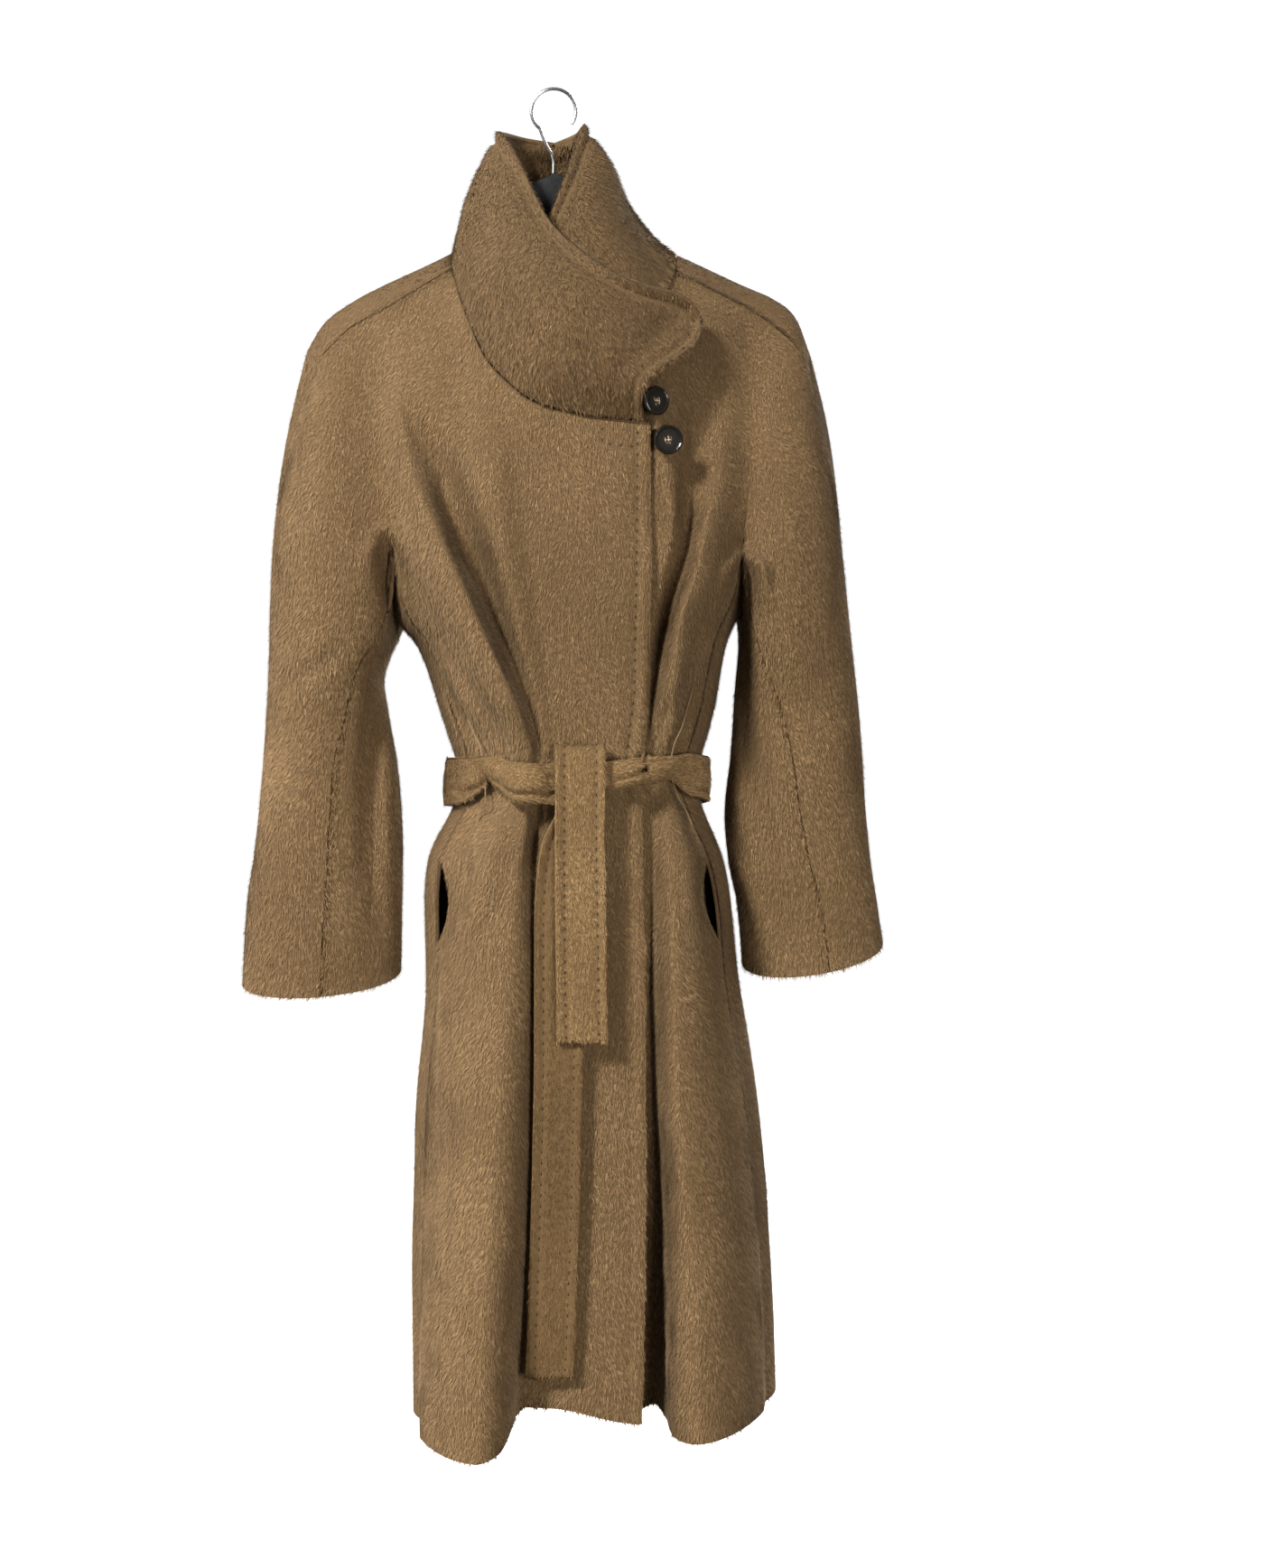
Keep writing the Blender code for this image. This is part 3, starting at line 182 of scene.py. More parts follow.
# A fold runs down its rows; left and right are its flanks' reach, and a low full makes a round roll.
Fold = namedtuple("Fold", "down x height left right full")
FRONT_FOLDS = tables(Fold, {
    "drape_right": (
        (270, -132, 0, 50, 16, 2), (369, -103, 14, 60, 16, 2), (425, -85, 21, 66, 16, 2),
        (481, -62, 26, 70, 16, 1.8), (556, -29, 24, 66, 15, 1.6), (600, -20, 11, 50, 13, 2),
        (628, -18, 4, 40, 12, 2), (650, -19, 4, 38, 12, 2), (700, -29, 16, 50, 17, 1.5),
        (804, -38, 24, 60, 25, 1.1), (900, -45, 34, 66, 29, 0.9), (1050, -54, 55, 70, 33, 0.75),
        (1215, -63, 80, 68, 33, 0.6),
    ),
    "drape_left": (
        (255, 166, 0, 16, 50, 2), (321, 154, 8, 16, 50, 2), (382, 143, 15, 16, 48, 2),
        (439, 133, 22, 16, 46, 2), (484, 119, 25, 16, 48, 1.8), (520, 109, 24, 15, 50, 1.6),
        (600, 95, 12, 13, 45, 2), (628, 94, 4, 12, 40, 2), (650, 96, 4, 12, 40, 2),
        (700, 103, 14, 14, 46, 1.5), (804, 108, 24, 20, 56, 1.1), (897, 115, 34, 24, 58, 0.9),
        (1050, 129, 48, 30, 60, 0.75), (1215, 137, 64, 34, 58, 0.6),
    ),
    "waist_valley_right": (
        (450, -126, 0, 14, 14, 2), (520, -87, -5, 14, 14, 2), (580, -52, -8, 13, 13, 2),
        (609, -38, -5, 12, 12, 2), (630, -33, 0, 12, 12, 2),
    ),
    "waist_valley_left": (
        (450, 150, 0, 12, 12, 2), (552, 121, -6, 12, 12, 2), (601, 110, -5, 11, 11, 2),
        (626, 108, 0, 11, 11, 2),
    ),
    "side_crease_right": (
        (510, -117, 0, 12, 12, 2), (560, -96, -5, 12, 12, 2), (604, -75, -5, 12, 12, 2),
        (626, -70, 0, 12, 12, 2),
    ),
    "side_crease_left": (
        (520, 154, 0, 12, 12, 2), (575, 139, -5, 12, 12, 2), (604, 127, -5, 12, 12, 2),
        (626, 121, 0, 12, 12, 2),
    ),
    "pocket_pleat_right": (
        (650, -50, 0, 12, 30, 2), (690, -59, 9, 13, 30, 2), (745, -73, 11, 13, 32, 2),
        (795, -93, 0, 12, 30, 2),
    ),
    "pocket_pleat_left": (
        (652, 122, 0, 26, 12, 2), (695, 128, 8, 26, 13, 2), (745, 138, 9, 28, 13, 2),
        (795, 152, 0, 26, 12, 2),
    ),
})
BUTTON_STAND = listed(
    Fold, (215, 100, 0, 30, 34, 2), (280, 98, 16, 32, 38, 2), (345, 102, 15, 32, 36, 2),
    (420, 100, 4, 30, 34, 2), (470, 98, 0, 30, 34, 2)
)
BACK_FOLDS = tables(Fold, {
    "back_centre": (
        (640, 20, 0, 30, 30, 2), (720, 19, 10, 34, 34, 2), (850, 16, 20, 46, 42, 2),
        (1050, 12, 28, 55, 50, 2), (1215, 10, 34, 60, 54, 2),
    ),
    "back_right": (
        (640, -50, 0, 26, 26, 2), (720, -58, 8, 30, 30, 2), (900, -68, 18, 34, 36, 2),
        (1215, -76, 28, 36, 40, 2),
    ),
    "back_left": (
        (640, 88, 0, 26, 26, 2), (720, 100, 8, 30, 30, 2), (900, 114, 18, 36, 34, 2),
        (1215, 124, 28, 40, 36, 2),
    ),
    "blade_right": (
        (330, -108, 0, 40, 30, 2), (450, -82, 8, 40, 22, 2), (550, -58, 11, 36, 20, 2),
        (612, -44, 4, 26, 18, 2), (634, -42, 0, 26, 18, 2),
    ),
    "blade_left": (
        (330, 138, 0, 30, 40, 2), (450, 116, 8, 22, 40, 2), (550, 98, 11, 20, 36, 2),
        (612, 86, 4, 18, 26, 2), (634, 84, 0, 18, 26, 2),
    ),
})

Slit = namedtuple("Slit", "top bottom gap lift")
POCKET_SLITS = {"right": Slit(704, 782, 11.0, 5.0), "left": Slit(704, 782, 11.5, 4.0)}
Bag = namedtuple("Bag", "top bottom front clear hollow wall")
POCKET_BAG = Bag(692, 850, 26.0, 2.0, 15.0, 1.5)

# Roll bends a rib outward above its middle and inward below it.
Rib = namedtuple("Rib", "seam_x seam_y seam_down mid_x mid_y mid_down edge_x edge_y edge_down roll")
COLLAR = tables(Rib, {
    "right": (
        (0.5, 78, 115, 0, 78, 73, -2, 66, 29, 0), (-60, 63, 124, -49, 60, 76, -33, 50, 28, 0),
        (-95, 3, 147, -74, 8, 87, -48, 10, 36, 0), (-93.5, -26, 169, -70, -20, 122, -35, -8, 58, 0),
        (-77, -52, 219, -57, -48, 158, -22, -25, 88, 0), (-42, -80, 280, -19, -85, 218, 1, -58, 139, 0),
        (9, -93, 311, 25, -102, 249, 44, -82, 179, 0), (56, -95.5, 318, 72, -107, 266, 92, -98, 206, 0),
        (85, -96, 321, 91, -108, 276, 133, -109, 228, 0),
    ),
    "left": (
        (1.1, 78, 115, 0.6, 78, 73, -1.4, 66, 29, 0), (72, 65, 123, 50, 61, 77, 19, 46, 26, 3),
        (115, 3, 150, 61, 8, 87, 26, 6, 29, 7), (113, -26, 173, 58, -16, 108, 18, -9, 56, 4),
        (98, -54, 217, 45, -42, 136, 10, -25, 86, 0), (50, -81, 292, 22, -66, 222, -8, -42, 140, 0),
    ),
})
COLLAR_MIDDLE = Point(8, 10, 0)
COLLAR_COLS = {"right": 24, "left": 15}
COLLAR_ROWS = 6
COLLAR_LIFT = 0.8
COLLAR_CLOSER = 1.6
LEAN_SHARE = 0.8

BELT_GAP_LEFT = 24.0
BELT_GAP_RIGHT = 30.0
BELT_STEPS = 240
STRAP_COLS = 24
Strap = namedtuple("Strap", "x y down width")
TAIL_SHORT = listed(
    Strap, (29, -85.6, 652, 44), (28, -85.6, 632, 45), (27.5, -86.5, 613, 46), (27, -94.5, 603, 46),
    (27, -103.2, 613, 46), (27, -104, 634, 46), (27, -105, 690, 46), (28, -106, 780, 47),
    (29, -106, 864, 47)
)
TAIL_LONG = listed(
    Strap, (24, -99, 664, 40), (13, -99.3, 695, 44), (8, -99.6, 760, 45), (8, -99.6, 860, 45),
    (6, -98, 980, 45), (0, -96, 1160, 45)
)
TAIL_STEPS = 12
THREAD = 0.6
# A carrier thread leaves the front, stands over the belt and goes back into the front below it.
Thread = namedtuple("Thread", "x down stand")
CARRIERS = tables(Thread, {
    "right": (
        (-74, 580, 1.5), (-67, 596, 5), (-62, 606, 11), (-58, 630, 11), (-58, 652, 11), (-62, 662, 5),
        (-66, 674, 1.5),
    ),
    "left": (
        (126, 552, 1.5), (116, 588, 5), (109, 604, 14), (106, 624, 14), (113, 648, 14), (120, 660, 7),
        (126, 674, 1.5),
    ),
})

# Each panel of the part is drawn with this many times its columns and rows.
FINE = 5
COLLAR_FINE = 4
RIM_STEPS = 4
# How far a panel's rounded edge is drawn in, as a share of half its wall.
SEAM_SOFT = 0.35

# Creases too fine for the solids. Depth is into the cloth, reach to each side; those named back are behind.
Crease = namedtuple("Crease", "x down depth reach")
# A sharp crease reaches only this share as far towards the wearer's right.
SHARP = {"chest_valley_right": 0.5, "chest_valley_left": 0.6}
CREASES = tables(Crease, {
    "chest_valley_right": (
        (-132, 288, 0, 24), (-98, 366, 16, 31), (-75, 430, 25, 28), (-59, 470, 26, 24), (-43, 515, 23, 19),
        (-22, 565, 13, 14), (-12, 600, 6, 9), (-10, 618, 0, 9),
    ),
    "gather_right": (
        (-92, 552, 0, 9), (-82, 570, 6, 10), (-62, 596, 8, 10), (-51, 611, 5, 8), (-48, 622, 0, 8),
    ),
    "gather_left_inner": (
        (108, 554, 0, 8), (101, 575, 6, 9), (92, 603, 7, 8), (90, 620, 0, 8),
    ),
    "gather_left_outer": (
        (134, 548, 0, 8), (126, 568, 6, 9), (114, 602, 7, 8), (111, 620, 0, 8),
    ),
    "pleat_right": (
        (-50, 640, 0, 8), (-52, 658, 7, 9), (-56, 684, 8, 10), (-64, 715, 0, 9),
    ),
    "pleat_tail": (
        (-13, 640, 0, 8), (-13, 658, 9, 9), (-13, 684, 9, 9), (-18, 722, 0, 9),
    ),
    "pleat_left": (
        (114, 640, 0, 8), (118, 656, 6, 8), (126, 684, 6, 9), (138, 720, 0, 9),
    ),
    "chest_under_collar": (
        (128, 196, 0, 40), (132, 226, -14, 46), (124, 270, -10, 40), (120, 310, 0, 34),
    ),
    "chest_panel_right": (
        (-62, 270, 0, 18), (-54, 350, -6, 24), (-42, 435, -9, 25), (-24, 520, -8, 21), (-12, 590, -4, 17),
        (-10, 618, 0, 14),
    ),
    "chest_valley_left": (
        (146, 270, 0, 18), (130, 338, 7, 20), (116, 428, 17, 19), (98, 500, 18, 16), (90, 556, 10, 13),
        (86, 610, 0, 10),
    ),
    "button_wrinkle": (
        (106, 352, 0, 9), (108, 390, -4, 11), (104, 440, -4, 11), (98, 500, 0, 9),
    ),
    "armpit_right": (
        (-153, 408, 0, 9), (-149, 430, 12, 10), (-147, 462, 18, 10), (-142, 494, 8, 9), (-138, 512, 0, 8),
    ),
    "armpit_shade_right": (
        (-138, 420, 0, 8), (-131, 440, 5, 10), (-126, 470, 6, 10), (-118, 505, 0, 9),
    ),
    "armpit_left": (
        (174, 438, 0, 9), (174, 454, 13, 11), (171, 480, 22, 12), (166, 505, 10, 10), (162, 524, 0, 8),
    ),
    "armpit_arch_left": (
        (150, 482, 0, 9), (156, 450, -7, 10), (171, 430, -11, 10), (188, 443, -10, 10), (192, 486, 0, 10),
    ),
    "armpit_arch_right": (
        (-168, 474, 0, 11), (-163, 430, -5, 12), (-149, 409, -6, 12), (-135, 420, -3, 11),
        (-128, 450, 0, 11),
    ),
    "under_sleeve_right": (
        (-150, 505, 0, 10), (-155, 540, 8, 13), (-163, 590, 12, 15), (-167, 650, 14, 16),
        (-167, 712, 12, 16), (-163, 765, 5, 14), (-160, 800, 0, 12),
    ),
    "under_sleeve_left": (
        (172, 515, 0, 9), (174, 560, 7, 12), (180, 620, 9, 14), (189, 680, 8, 15), (198, 740, 4, 14),
        (204, 790, 0, 12),
    ),
    "sleeve_bend_right": (
        (-262, 560, 0, 14), (-236, 548, 2.5, 15), (-204, 528, 3, 14), (-176, 500, 0, 12),
    ),
    "sleeve_long_right": (
        (-214, 300, 0, 16), (-224, 400, 2.5, 18), (-228, 500, 0, 16),
    ),
    "sleeve_bend_left": (
        (284, 545, 0, 14), (256, 530, 2.5, 15), (226, 505, 3, 14), (200, 474, 0, 12),
    ),
    "sleeve_long_left": (
        (214, 300, 0, 16), (228, 400, 2.5, 18), (238, 500, 0, 16),
    ),
    "back_bend_right": (
        (-262, 556, 0, 14), (-228, 540, 3, 16), (-190, 512, 3.5, 15), (-160, 478, 0, 12),
    ),
    "back_bend_left": (
        (282, 548, 0, 14), (248, 532, 3, 16), (212, 506, 3.5, 15), (184, 474, 0, 12),
    ),
    "back_blouse_right": (
        (-74, 560, 0, 12), (-30, 592, 3.5, 13), (10, 600, 4, 13), (30, 606, 0, 10),
    ),
    "back_blouse_left": (
        (112, 556, 0, 12), (76, 586, 3.5, 13), (44, 600, 3, 12), (24, 612, 0, 10),
    ),
})
# The chest fold lies a little further out than the solid's; depth is how far it moves across.
CHEST_SHIFT = listed(
    Crease, (-126, 262, 0, 34), (-97, 366, -17, 36), (-79, 425, -11, 34), (-56, 481, -9, 32),
    (-23, 556, -9, 28), (-14, 600, -3, 22), (-12, 622, 0, 20)
)
# Where the sleeves run into the fronts and where the left fold starts; depth is here the share that is eased.
SLEEVE_BENDS = (
    listed(
        Crease, (-160, 205, 0, 30), (-160, 250, 1, 32), (-158, 392, 1, 30), (-158, 424, 0, 20),
    ),
    listed(
        Crease, (178, 205, 0, 30), (178, 250, 1, 32), (177, 392, 1, 30), (177, 424, 0, 20),
    ),
)
FOLD_STARTS = (
    listed(
        Crease, (132, 340, 0, 12), (131, 356, 1, 14), (129, 374, 1, 14), (126, 392, 0, 12),
    ),
)
SOFTEN_PASSES = 160
SOFTEN_FACING = 0.2
SOFTEN_LEAST = 0.002
# Creases and the chest's shift fade out as the cloth turns to the side.
CREASE_FADE = 3
SHIFT_FADE = 2
FACES_AHEAD = -0.3
UNDULATION = 1.1


def glide(xs, ys, at):
    """A smooth curve through the points that never overshoots them."""
    xs = np.asarray(xs, float)
    ys = np.asarray(ys, float)
    at = np.clip(np.asarray(at, float), xs[0], xs[-1])
    step = np.diff(xs)
    slope = np.diff(ys) / step
    tangent = np.concatenate([slope[:1], np.zeros(len(xs) - 2), slope[-1:]])
    both = slope[:-1] * slope[1:]
    total = slope[:-1] + slope[1:]
    tangent[1:-1] = np.where(both > 0, 2 * both / np.where(total == 0, 1, total), 0)
    i = np.clip(np.searchsorted(xs, at) - 1, 0, len(xs) - 2)
    t = (at - xs[i]) / step[i]
    rise = ys[i + 1] - ys[i]
    bend = (3 - 2 * t) * t * t * rise
    ease = t * (1 - t) * step[i] * ((1 - t) * tangent[i] - t * tangent[i + 1])
    return ys[i] + bend + ease


def column(rows, name, at, key="down"):
    return glide([getattr(r, key) for r in rows], [getattr(r, name) for r in rows], at)


def by_number(rows, at, *names):
    """Columns of a table, read by the number of the row."""
    stop = np.arange(len(rows))
    return [glide(stop, [getattr(r, name) for r in rows], at) for name in names]


def smoothstep(t):
    t = np.clip(t, 0, 1)
    return t * t * (3 - 2 * t)


def folds(table, x, down):
    """How far the cloth stands out where its folds are."""
    total = np.zeros(np.broadcast(x, down).shape)
    for rows in table.values():
        live = (down >= rows[0].down) & (down <= rows[-1].down)
        off = x - column(rows, "x", down)
        reach = np.where(off < 0, column(rows, "left", down), column(rows, "right", down))
        near = (1 - np.clip(np.abs(off) / reach, 0, 1) ** 2) ** column(rows, "full", down)
        total = total + np.where(live, column(rows, "height", down) * near, 0)
    return total


def section_span(down):
    """The middle and half the width of the coat's section."""
    left = column(SECTIONS, "left", down)
    right = column(SECTIONS, "right", down)
    return 0.5 * (left + right), 0.5 * (right - left)


def round_y(down, ahead, share):
    """The section's depth at a share of its reach to the front or the back."""
    side = column(SECTIONS, "side", down)
    reach = np.where(ahead, column(SECTIONS, "front", down), column(SECTIONS, "back", down)) - side
    return side + reach * np.abs(share) ** (2 / ROUND)


def half_depth(x, down, name):
    """The section's front or back curve, without folds."""
    middle, half = section_span(down)
    side = column(SECTIONS, "side", down)
    share = np.clip(np.abs(x - middle) / half, 0, 1)
    return side + (column(SECTIONS, name, down) - side) * (1 - share**ROUND) ** (1 / ROUND)


def lap(x, down):
    """How far the under front lies behind the front that laps over it."""
    past = x - column(FRONT_EDGE, "x", down) - LAP_FLOOR
    return column(FRONT_EDGE, "lap", down) * (1 - smoothstep(past / LAP_FADE))


def front_folds(side):
    """Both fronts share their folds; the under front also stands forward at the buttons."""
    return FRONT_FOLDS if side == "right" else dict(FRONT_FOLDS, button_stand=BUTTON_STAND)


def front_y(side, x, down):
    y = half_depth(x, down, "front")
    if side == "left":
        y = y + lap(x, down)
    return y


def hem_lift(table, x, down):
    """How much shorter than its longest the cloth hangs."""
    return column(table, "lift", x, "x") * smoothstep((down - HEM_START) / (HEM - HEM_START))


def side_x(side, inset, down):
    """A line down the wearer's right or left side, moved in from the coat's outline."""
    outline = "left" if side == "right" else "right"
    return column(SECTIONS, outline, down) - OUTWARD[side] * inset


def front_x(side, share, down):
    """Columns spread from the side seam to the fold's crest, over its steep flank and on to the edge."""
    crest = FRONT_FOLDS["drape_" + side]
    cols = RIGHT_COLS if side == "right" else LEFT_COLS
    level = np.maximum(down, ARMPIT)
    top = column(crest, "x", level)
    flank = column(crest, "right", level) if side == "right" else -column(crest, "left", level)
    edge = column(FRONT_EDGE, "x", level) - (UNDERLAP if side == "left" else 0)
    seam = side_x(side, SEAM_INSET, level)
    first = CREST_COLS / cols
    second = (CREST_COLS + FLANK_COLS[side]) / cols
    a = seam + (top - seam) * share / first
    b = top + flank * (share - first) / (second - first)
    c = top + flank + (edge - top - flank) * (share - second) / (1 - second)
    return np.where(share < first, a, np.where(share < second, b, c))


def front_point(side, share, down):
    """A point of a front below the armpit; share runs from the side seam to the front edge."""
    x = front_x(side, share, down)
    y = front_y(side, x, down) - folds(front_folds(side), x, down)
    return np.stack([x, y, down - hem_lift(FRONT_HEM, x, down)], -1)


def back_point(share, down):
    left = side_x("right", BACK_INSET, down)
    right = side_x("left", BACK_INSET, down)
    x = left + (right - left) * share
    y = half_depth(x, down, "back") + folds(BACK_FOLDS, x, down)
    return np.stack([x, y, down - hem_lift(BACK_HEM, x, down)], -1)


def wing_point(side, share, down):
    """A point of the side, from the forward seam round to the back."""
    middle, half = section_span(down)
    turn_front = np.arccos((1 - SEAM_INSET / half) ** (ROUND / 2))
    turn_back = np.arccos((1 - BACK_INSET / half) ** (ROUND / 2))
    turn = turn_front - (turn_front + turn_back) * share
    x = middle + OUTWARD[side] * half * np.cos(turn) ** (2 / ROUND)
    y = round_y(down, turn > 0, np.sin(turn))
    return np.stack([x, y, down - hem_lift(BACK_HEM, x, down)], -1)


def underarm_down(share):
    """The level of the underarm seam, lowest in the middle."""
    ends = ARMPIT + (BACK_ARMPIT - ARMPIT) * share
    return ends + (UNDERARM - 0.5 * (ARMPIT + BACK_ARMPIT)) * np.sin(math.pi * share) ** UNDERARM_ROUND


def sleeve_ring(side, turn, down):
    """A point of the sleeve; turn goes from the outside by the front to the inside."""
    rows = SLEEVES[side]
    outer = column(rows, "outer", down)
    inner = column(rows, "inner", down)
    x = 0.5 * (outer + inner) - 0.5 * (inner - outer) * np.cos(turn)
    y = column(rows, "mid", down) - column(rows, "depth", down) * np.sin(turn)
    return np.stack([x, y, down + 0 * x], -1)


def cuff_down(side, turn):
    """The cuff's level round the sleeve, through its outer, front, inner and back heights."""
    c = CUFFS[side]
    across = 0.5 * (c.outer + c.inner)
    along = 0.5 * (c.front + c.back)
    level = across + (along - across) * np.sin(turn) ** 2
    return level + 0.5 * (c.outer - c.inner) * np.cos(turn) + 0.5 * (c.front - c.back) * np.sin(turn)


def table_point(rows, x):
    """The line through a table's points, at x."""
    rows = sorted(rows)
    xs = [r.x for r in rows]
    y = np.interp(x, xs, [r.y for r in rows])
    down = np.interp(x, xs, [r.down for r in rows])
    return np.stack([x + 0 * y, y, down], -1)


def sleeve_leg(side, top, turns_of, rows):
    """Rows from the armpit to the cuff; the top row's own points ease into the sleeve's rings."""
    count = len(top)
    share = np.linspace(0, 1, count)
    first_turn = turns_of(share, top[:, 2])
    away = top - sleeve_ring(side, first_turn, top[:, 2])
    grid = []
    for g in rows:
        turn = first_turn
        for settle in range(3):
            down = top[:, 2] + (cuff_down(side, turn) - top[:, 2]) * g
            turn = turns_of(share, down)
        grid.append(sleeve_ring(side, turn, down) + away * (1 - smoothstep(g / ARM_SETTLE)))
    return np.array(grid)


def sleeve_turns(side, panel):
    """How far round the sleeve a panel's points lie, from their share of its width and their level."""
    def turns(share, down):
        front = column(SLEEVES[side], "front_seam", down)
        back = column(SLEEVES[side], "back_seam", down)
        spans = {"front": (OVERARM_DEG, front), "back": (OVERARM_DEG, back - 360), "under": (front, back)}
        start, end = np.radians(spans[panel][0]), np.radians(spans[panel][1])
        return start + (end - start) * share
    return turns


def armpit_row(side, turns, corner, count):
    """The sleeve's half ring at the armpit, ending at the corner it shares with the body."""
    share = np.linspace(0, 1, count)
    level = ARMPIT + (corner[2] - ARMPIT) * share**2
    row = sleeve_ring(side, turns(share, level), level)
    row += (corner - row[-1]) * (share**2)[:, None]
    return row


def waist_ring(turn, down):
    """The coat's outside at the waist; turn runs from the tie by the left side and back to the tie."""
    middle, half = section_span(down)
    start = math.asin((BELT_GAP_RIGHT - BELT_MIDDLE) / BELT_HALF)
    stop = 2 * math.pi + math.asin((BELT_GAP_LEFT - BELT_MIDDLE) / BELT_HALF)
    angle = start + (stop - start) * turn
    x = middle + half * np.sign(np.sin(angle)) * np.abs(np.sin(angle)) ** (2 / ROUND)
    ahead = np.cos(angle) > 0
    y = round_y(down, ahead, np.cos(angle))
    ahead_by = np.maximum(folds(FRONT_FOLDS, x, down), 0)
    behind_by = np.maximum(folds(BACK_FOLDS, x, down), 0)
    return np.stack([x, y + np.where(ahead, -ahead_by, behind_by), down + 0 * x], -1)


def carrier_line(side):
    """The thread's line, made from the front's own points moved out."""
    rows = CARRIERS[side]
    at = np.linspace(0, len(rows) - 1, CARRIER_STEPS * (len(rows) - 1) + 1)
    x, down, stand = by_number(rows, at, *Thread._fields)
    y = front_y(side, x, down) - folds(front_folds(side), x, down) - stand
    return np.stack([x, y, down], -1)


def bag_grid(side):
    """The pocket bag, made from the side's own points moved in."""
    downs = np.linspace(POCKET_BAG.top, POCKET_BAG.bottom, BAG_ROWS)
    grid = []
    for d in downs:
        seam = float(side_x(side, SEAM_INSET, d))
        row = []
        for s in np.linspace(-1, 1, BAG_COLS):
            if s >= 0:
                x = seam - OUTWARD[side] * POCKET_BAG.front * s
                y = float(half_depth(np.array(x), d, "front"))
            else:
                p = wing_point(side, np.array([-s * BAG_SHARE]), np.array([d]))[0]
                x, y = p[0], p[1]
            t = (d - POCKET_BAG.top) / (POCKET_BAG.bottom - POCKET_BAG.top)
            hollow = POCKET_BAG.hollow * math.cos(0.5 * math.pi * s)
            hollow *= math.sin(math.pi * min(1, t * (1 - 2 * BAG_TUCK) + BAG_TUCK))
            middle = float(section_span(d)[0])
            inward = np.array([0.5 * (middle - x), BAG_DEPTH_MIDDLE - y])
            inward /= np.linalg.norm(inward)
            move = WALL + POCKET_BAG.clear + hollow
            row.append([x + inward[0] * move, y + inward[1] * move, d])
        grid.append(row)
    return np.array(grid)


def refine(values, steps=FINE):
    """The same line with more points on it."""
    values = np.asarray(values, float)
    stop = np.arange(len(values))
    at = np.linspace(0, len(values) - 1, (len(values) - 1) * steps + 1)
    if values.ndim == 1:
        return glide(stop, values, at)
    return np.stack([glide(stop, values[:, k], at) for k in range(values.shape[1])], -1)


BODY_LEVELS = refine(BODY_ROWS)
SLEEVE_SHARES = refine(SLEEVE_ROWS)
ARM_COUNT = SLEEVE_COLS * FINE + 1


def upper_grid(top, bottom, rows, ease, fold_table, outward):
    """Rows from the shoulder seam and neck down to the armpit."""
    grid = []
    sink = folds(fold_table, bottom[:, 0], bottom[:, 2])
    base = bottom[:, 1] - outward * sink
    outline = np.zeros(len(top))
    outline[:ARM_COUNT] = np.linspace(1, 0, ARM_COUNT)
    if fold_table is BACK_FOLDS:
        outline[-ARM_COUNT:] = -np.linspace(0, 1, ARM_COUNT)
    bulge = -OUTLINE_BULGE * outline * np.sign(bottom[-1, 0] - bottom[0, 0])
    for r in rows:
        x = top[:, 0] + (bottom[:, 0] - top[:, 0]) * r + bulge * math.sin(math.pi * r)
        down = top[:, 2] + (bottom[:, 2] - top[:, 2]) * r
        y = top[:, 1] + (base - top[:, 1]) * (1 - (1 - r) ** ease) + outward * folds(fold_table, x, down)
        grid.append(np.stack([x, y, down], -1))
    grid[0] = top.copy()
    grid[-1] = bottom.copy()
    return np.array(grid)


def shoulder_line(side):
    """The shoulder seam from the overarm to the neck."""
    seam = SHOULDER_SEAM[side]
    arm_x = np.linspace(seam[0].x, SHOULDER_JOIN[side], SLEEVE_COLS + 1)
    x = np.concatenate([arm_x, SHOULDER_COLUMNS[side][1:]])
    return refine(table_point(seam, x))


def ridge_line(side):
    ridge = SHOULDER_RIDGE[side]
    outer = np.linspace(ridge[0].x, SHOULDER_JOIN[side], SLEEVE_COLS)
    return refine(table_point(ridge, np.concatenate([outer[:1], outer, SHOULDER_COLUMNS[side][1:]])))


def front_grids(side, cols):
    share = np.linspace(0, 1, cols * FINE + 1)
    body = np.array([front_point(side, share, np.full(len(share), d)) for d in BODY_LEVELS])
    slit = POCKET_SLITS[side]
    spread = np.clip(1 - np.arange(len(share)) / (2 * FINE), 0, 1)
    for row, d in zip(body, BODY_LEVELS):
        if slit.top < d < slit.bottom:
            open_by = math.sin(math.pi * (d - slit.top) / (slit.bottom - slit.top))
            row += np.outer(spread * open_by, [-OUTWARD[side] * slit.gap, -slit.lift, 0])
    turns = sleeve_turns(side, "front")
    arm = armpit_row(side, turns, body[0, 0], ARM_COUNT)
    sleeve = sleeve_leg(side, arm, turns, SLEEVE_SHARES)
    bottom = np.concatenate([arm, body[0, 1:]])
    neck = FRONT_NECK[side]
    neck_x = np.linspace(neck[0].x, neck[-1].x, cols - SHOULDER_COLS + 1)
    neck_line = refine(table_point(neck, neck_x))
    top = np.concatenate([shoulder_line(side), neck_line[1:]])
    levels = np.linspace(0, 1, UPPER_ROWS * FINE + 1)
    return upper_grid(top, bottom, levels, FRONT_EASE, front_folds(side), -1), sleeve, body


def wing_grid(side):
    share = np.linspace(0, 1, WING_COLS * FINE + 1)
    first = underarm_down(share)
    grid = []
    for d in BODY_LEVELS:
        settle = 1 - smoothstep((d - ARMPIT) / UNDERARM_RUN)
        down = d + (first - ARMPIT) * settle
        row = wing_point(side, share, down)
        row[0] = front_point(side, np.array([0.0]), np.array([d]))[0]
        row[-1] = back_point(np.array([0.0 if side == "right" else 1.0]), down[-1:])[0]
        grid.append(row)
    return np.array(grid)


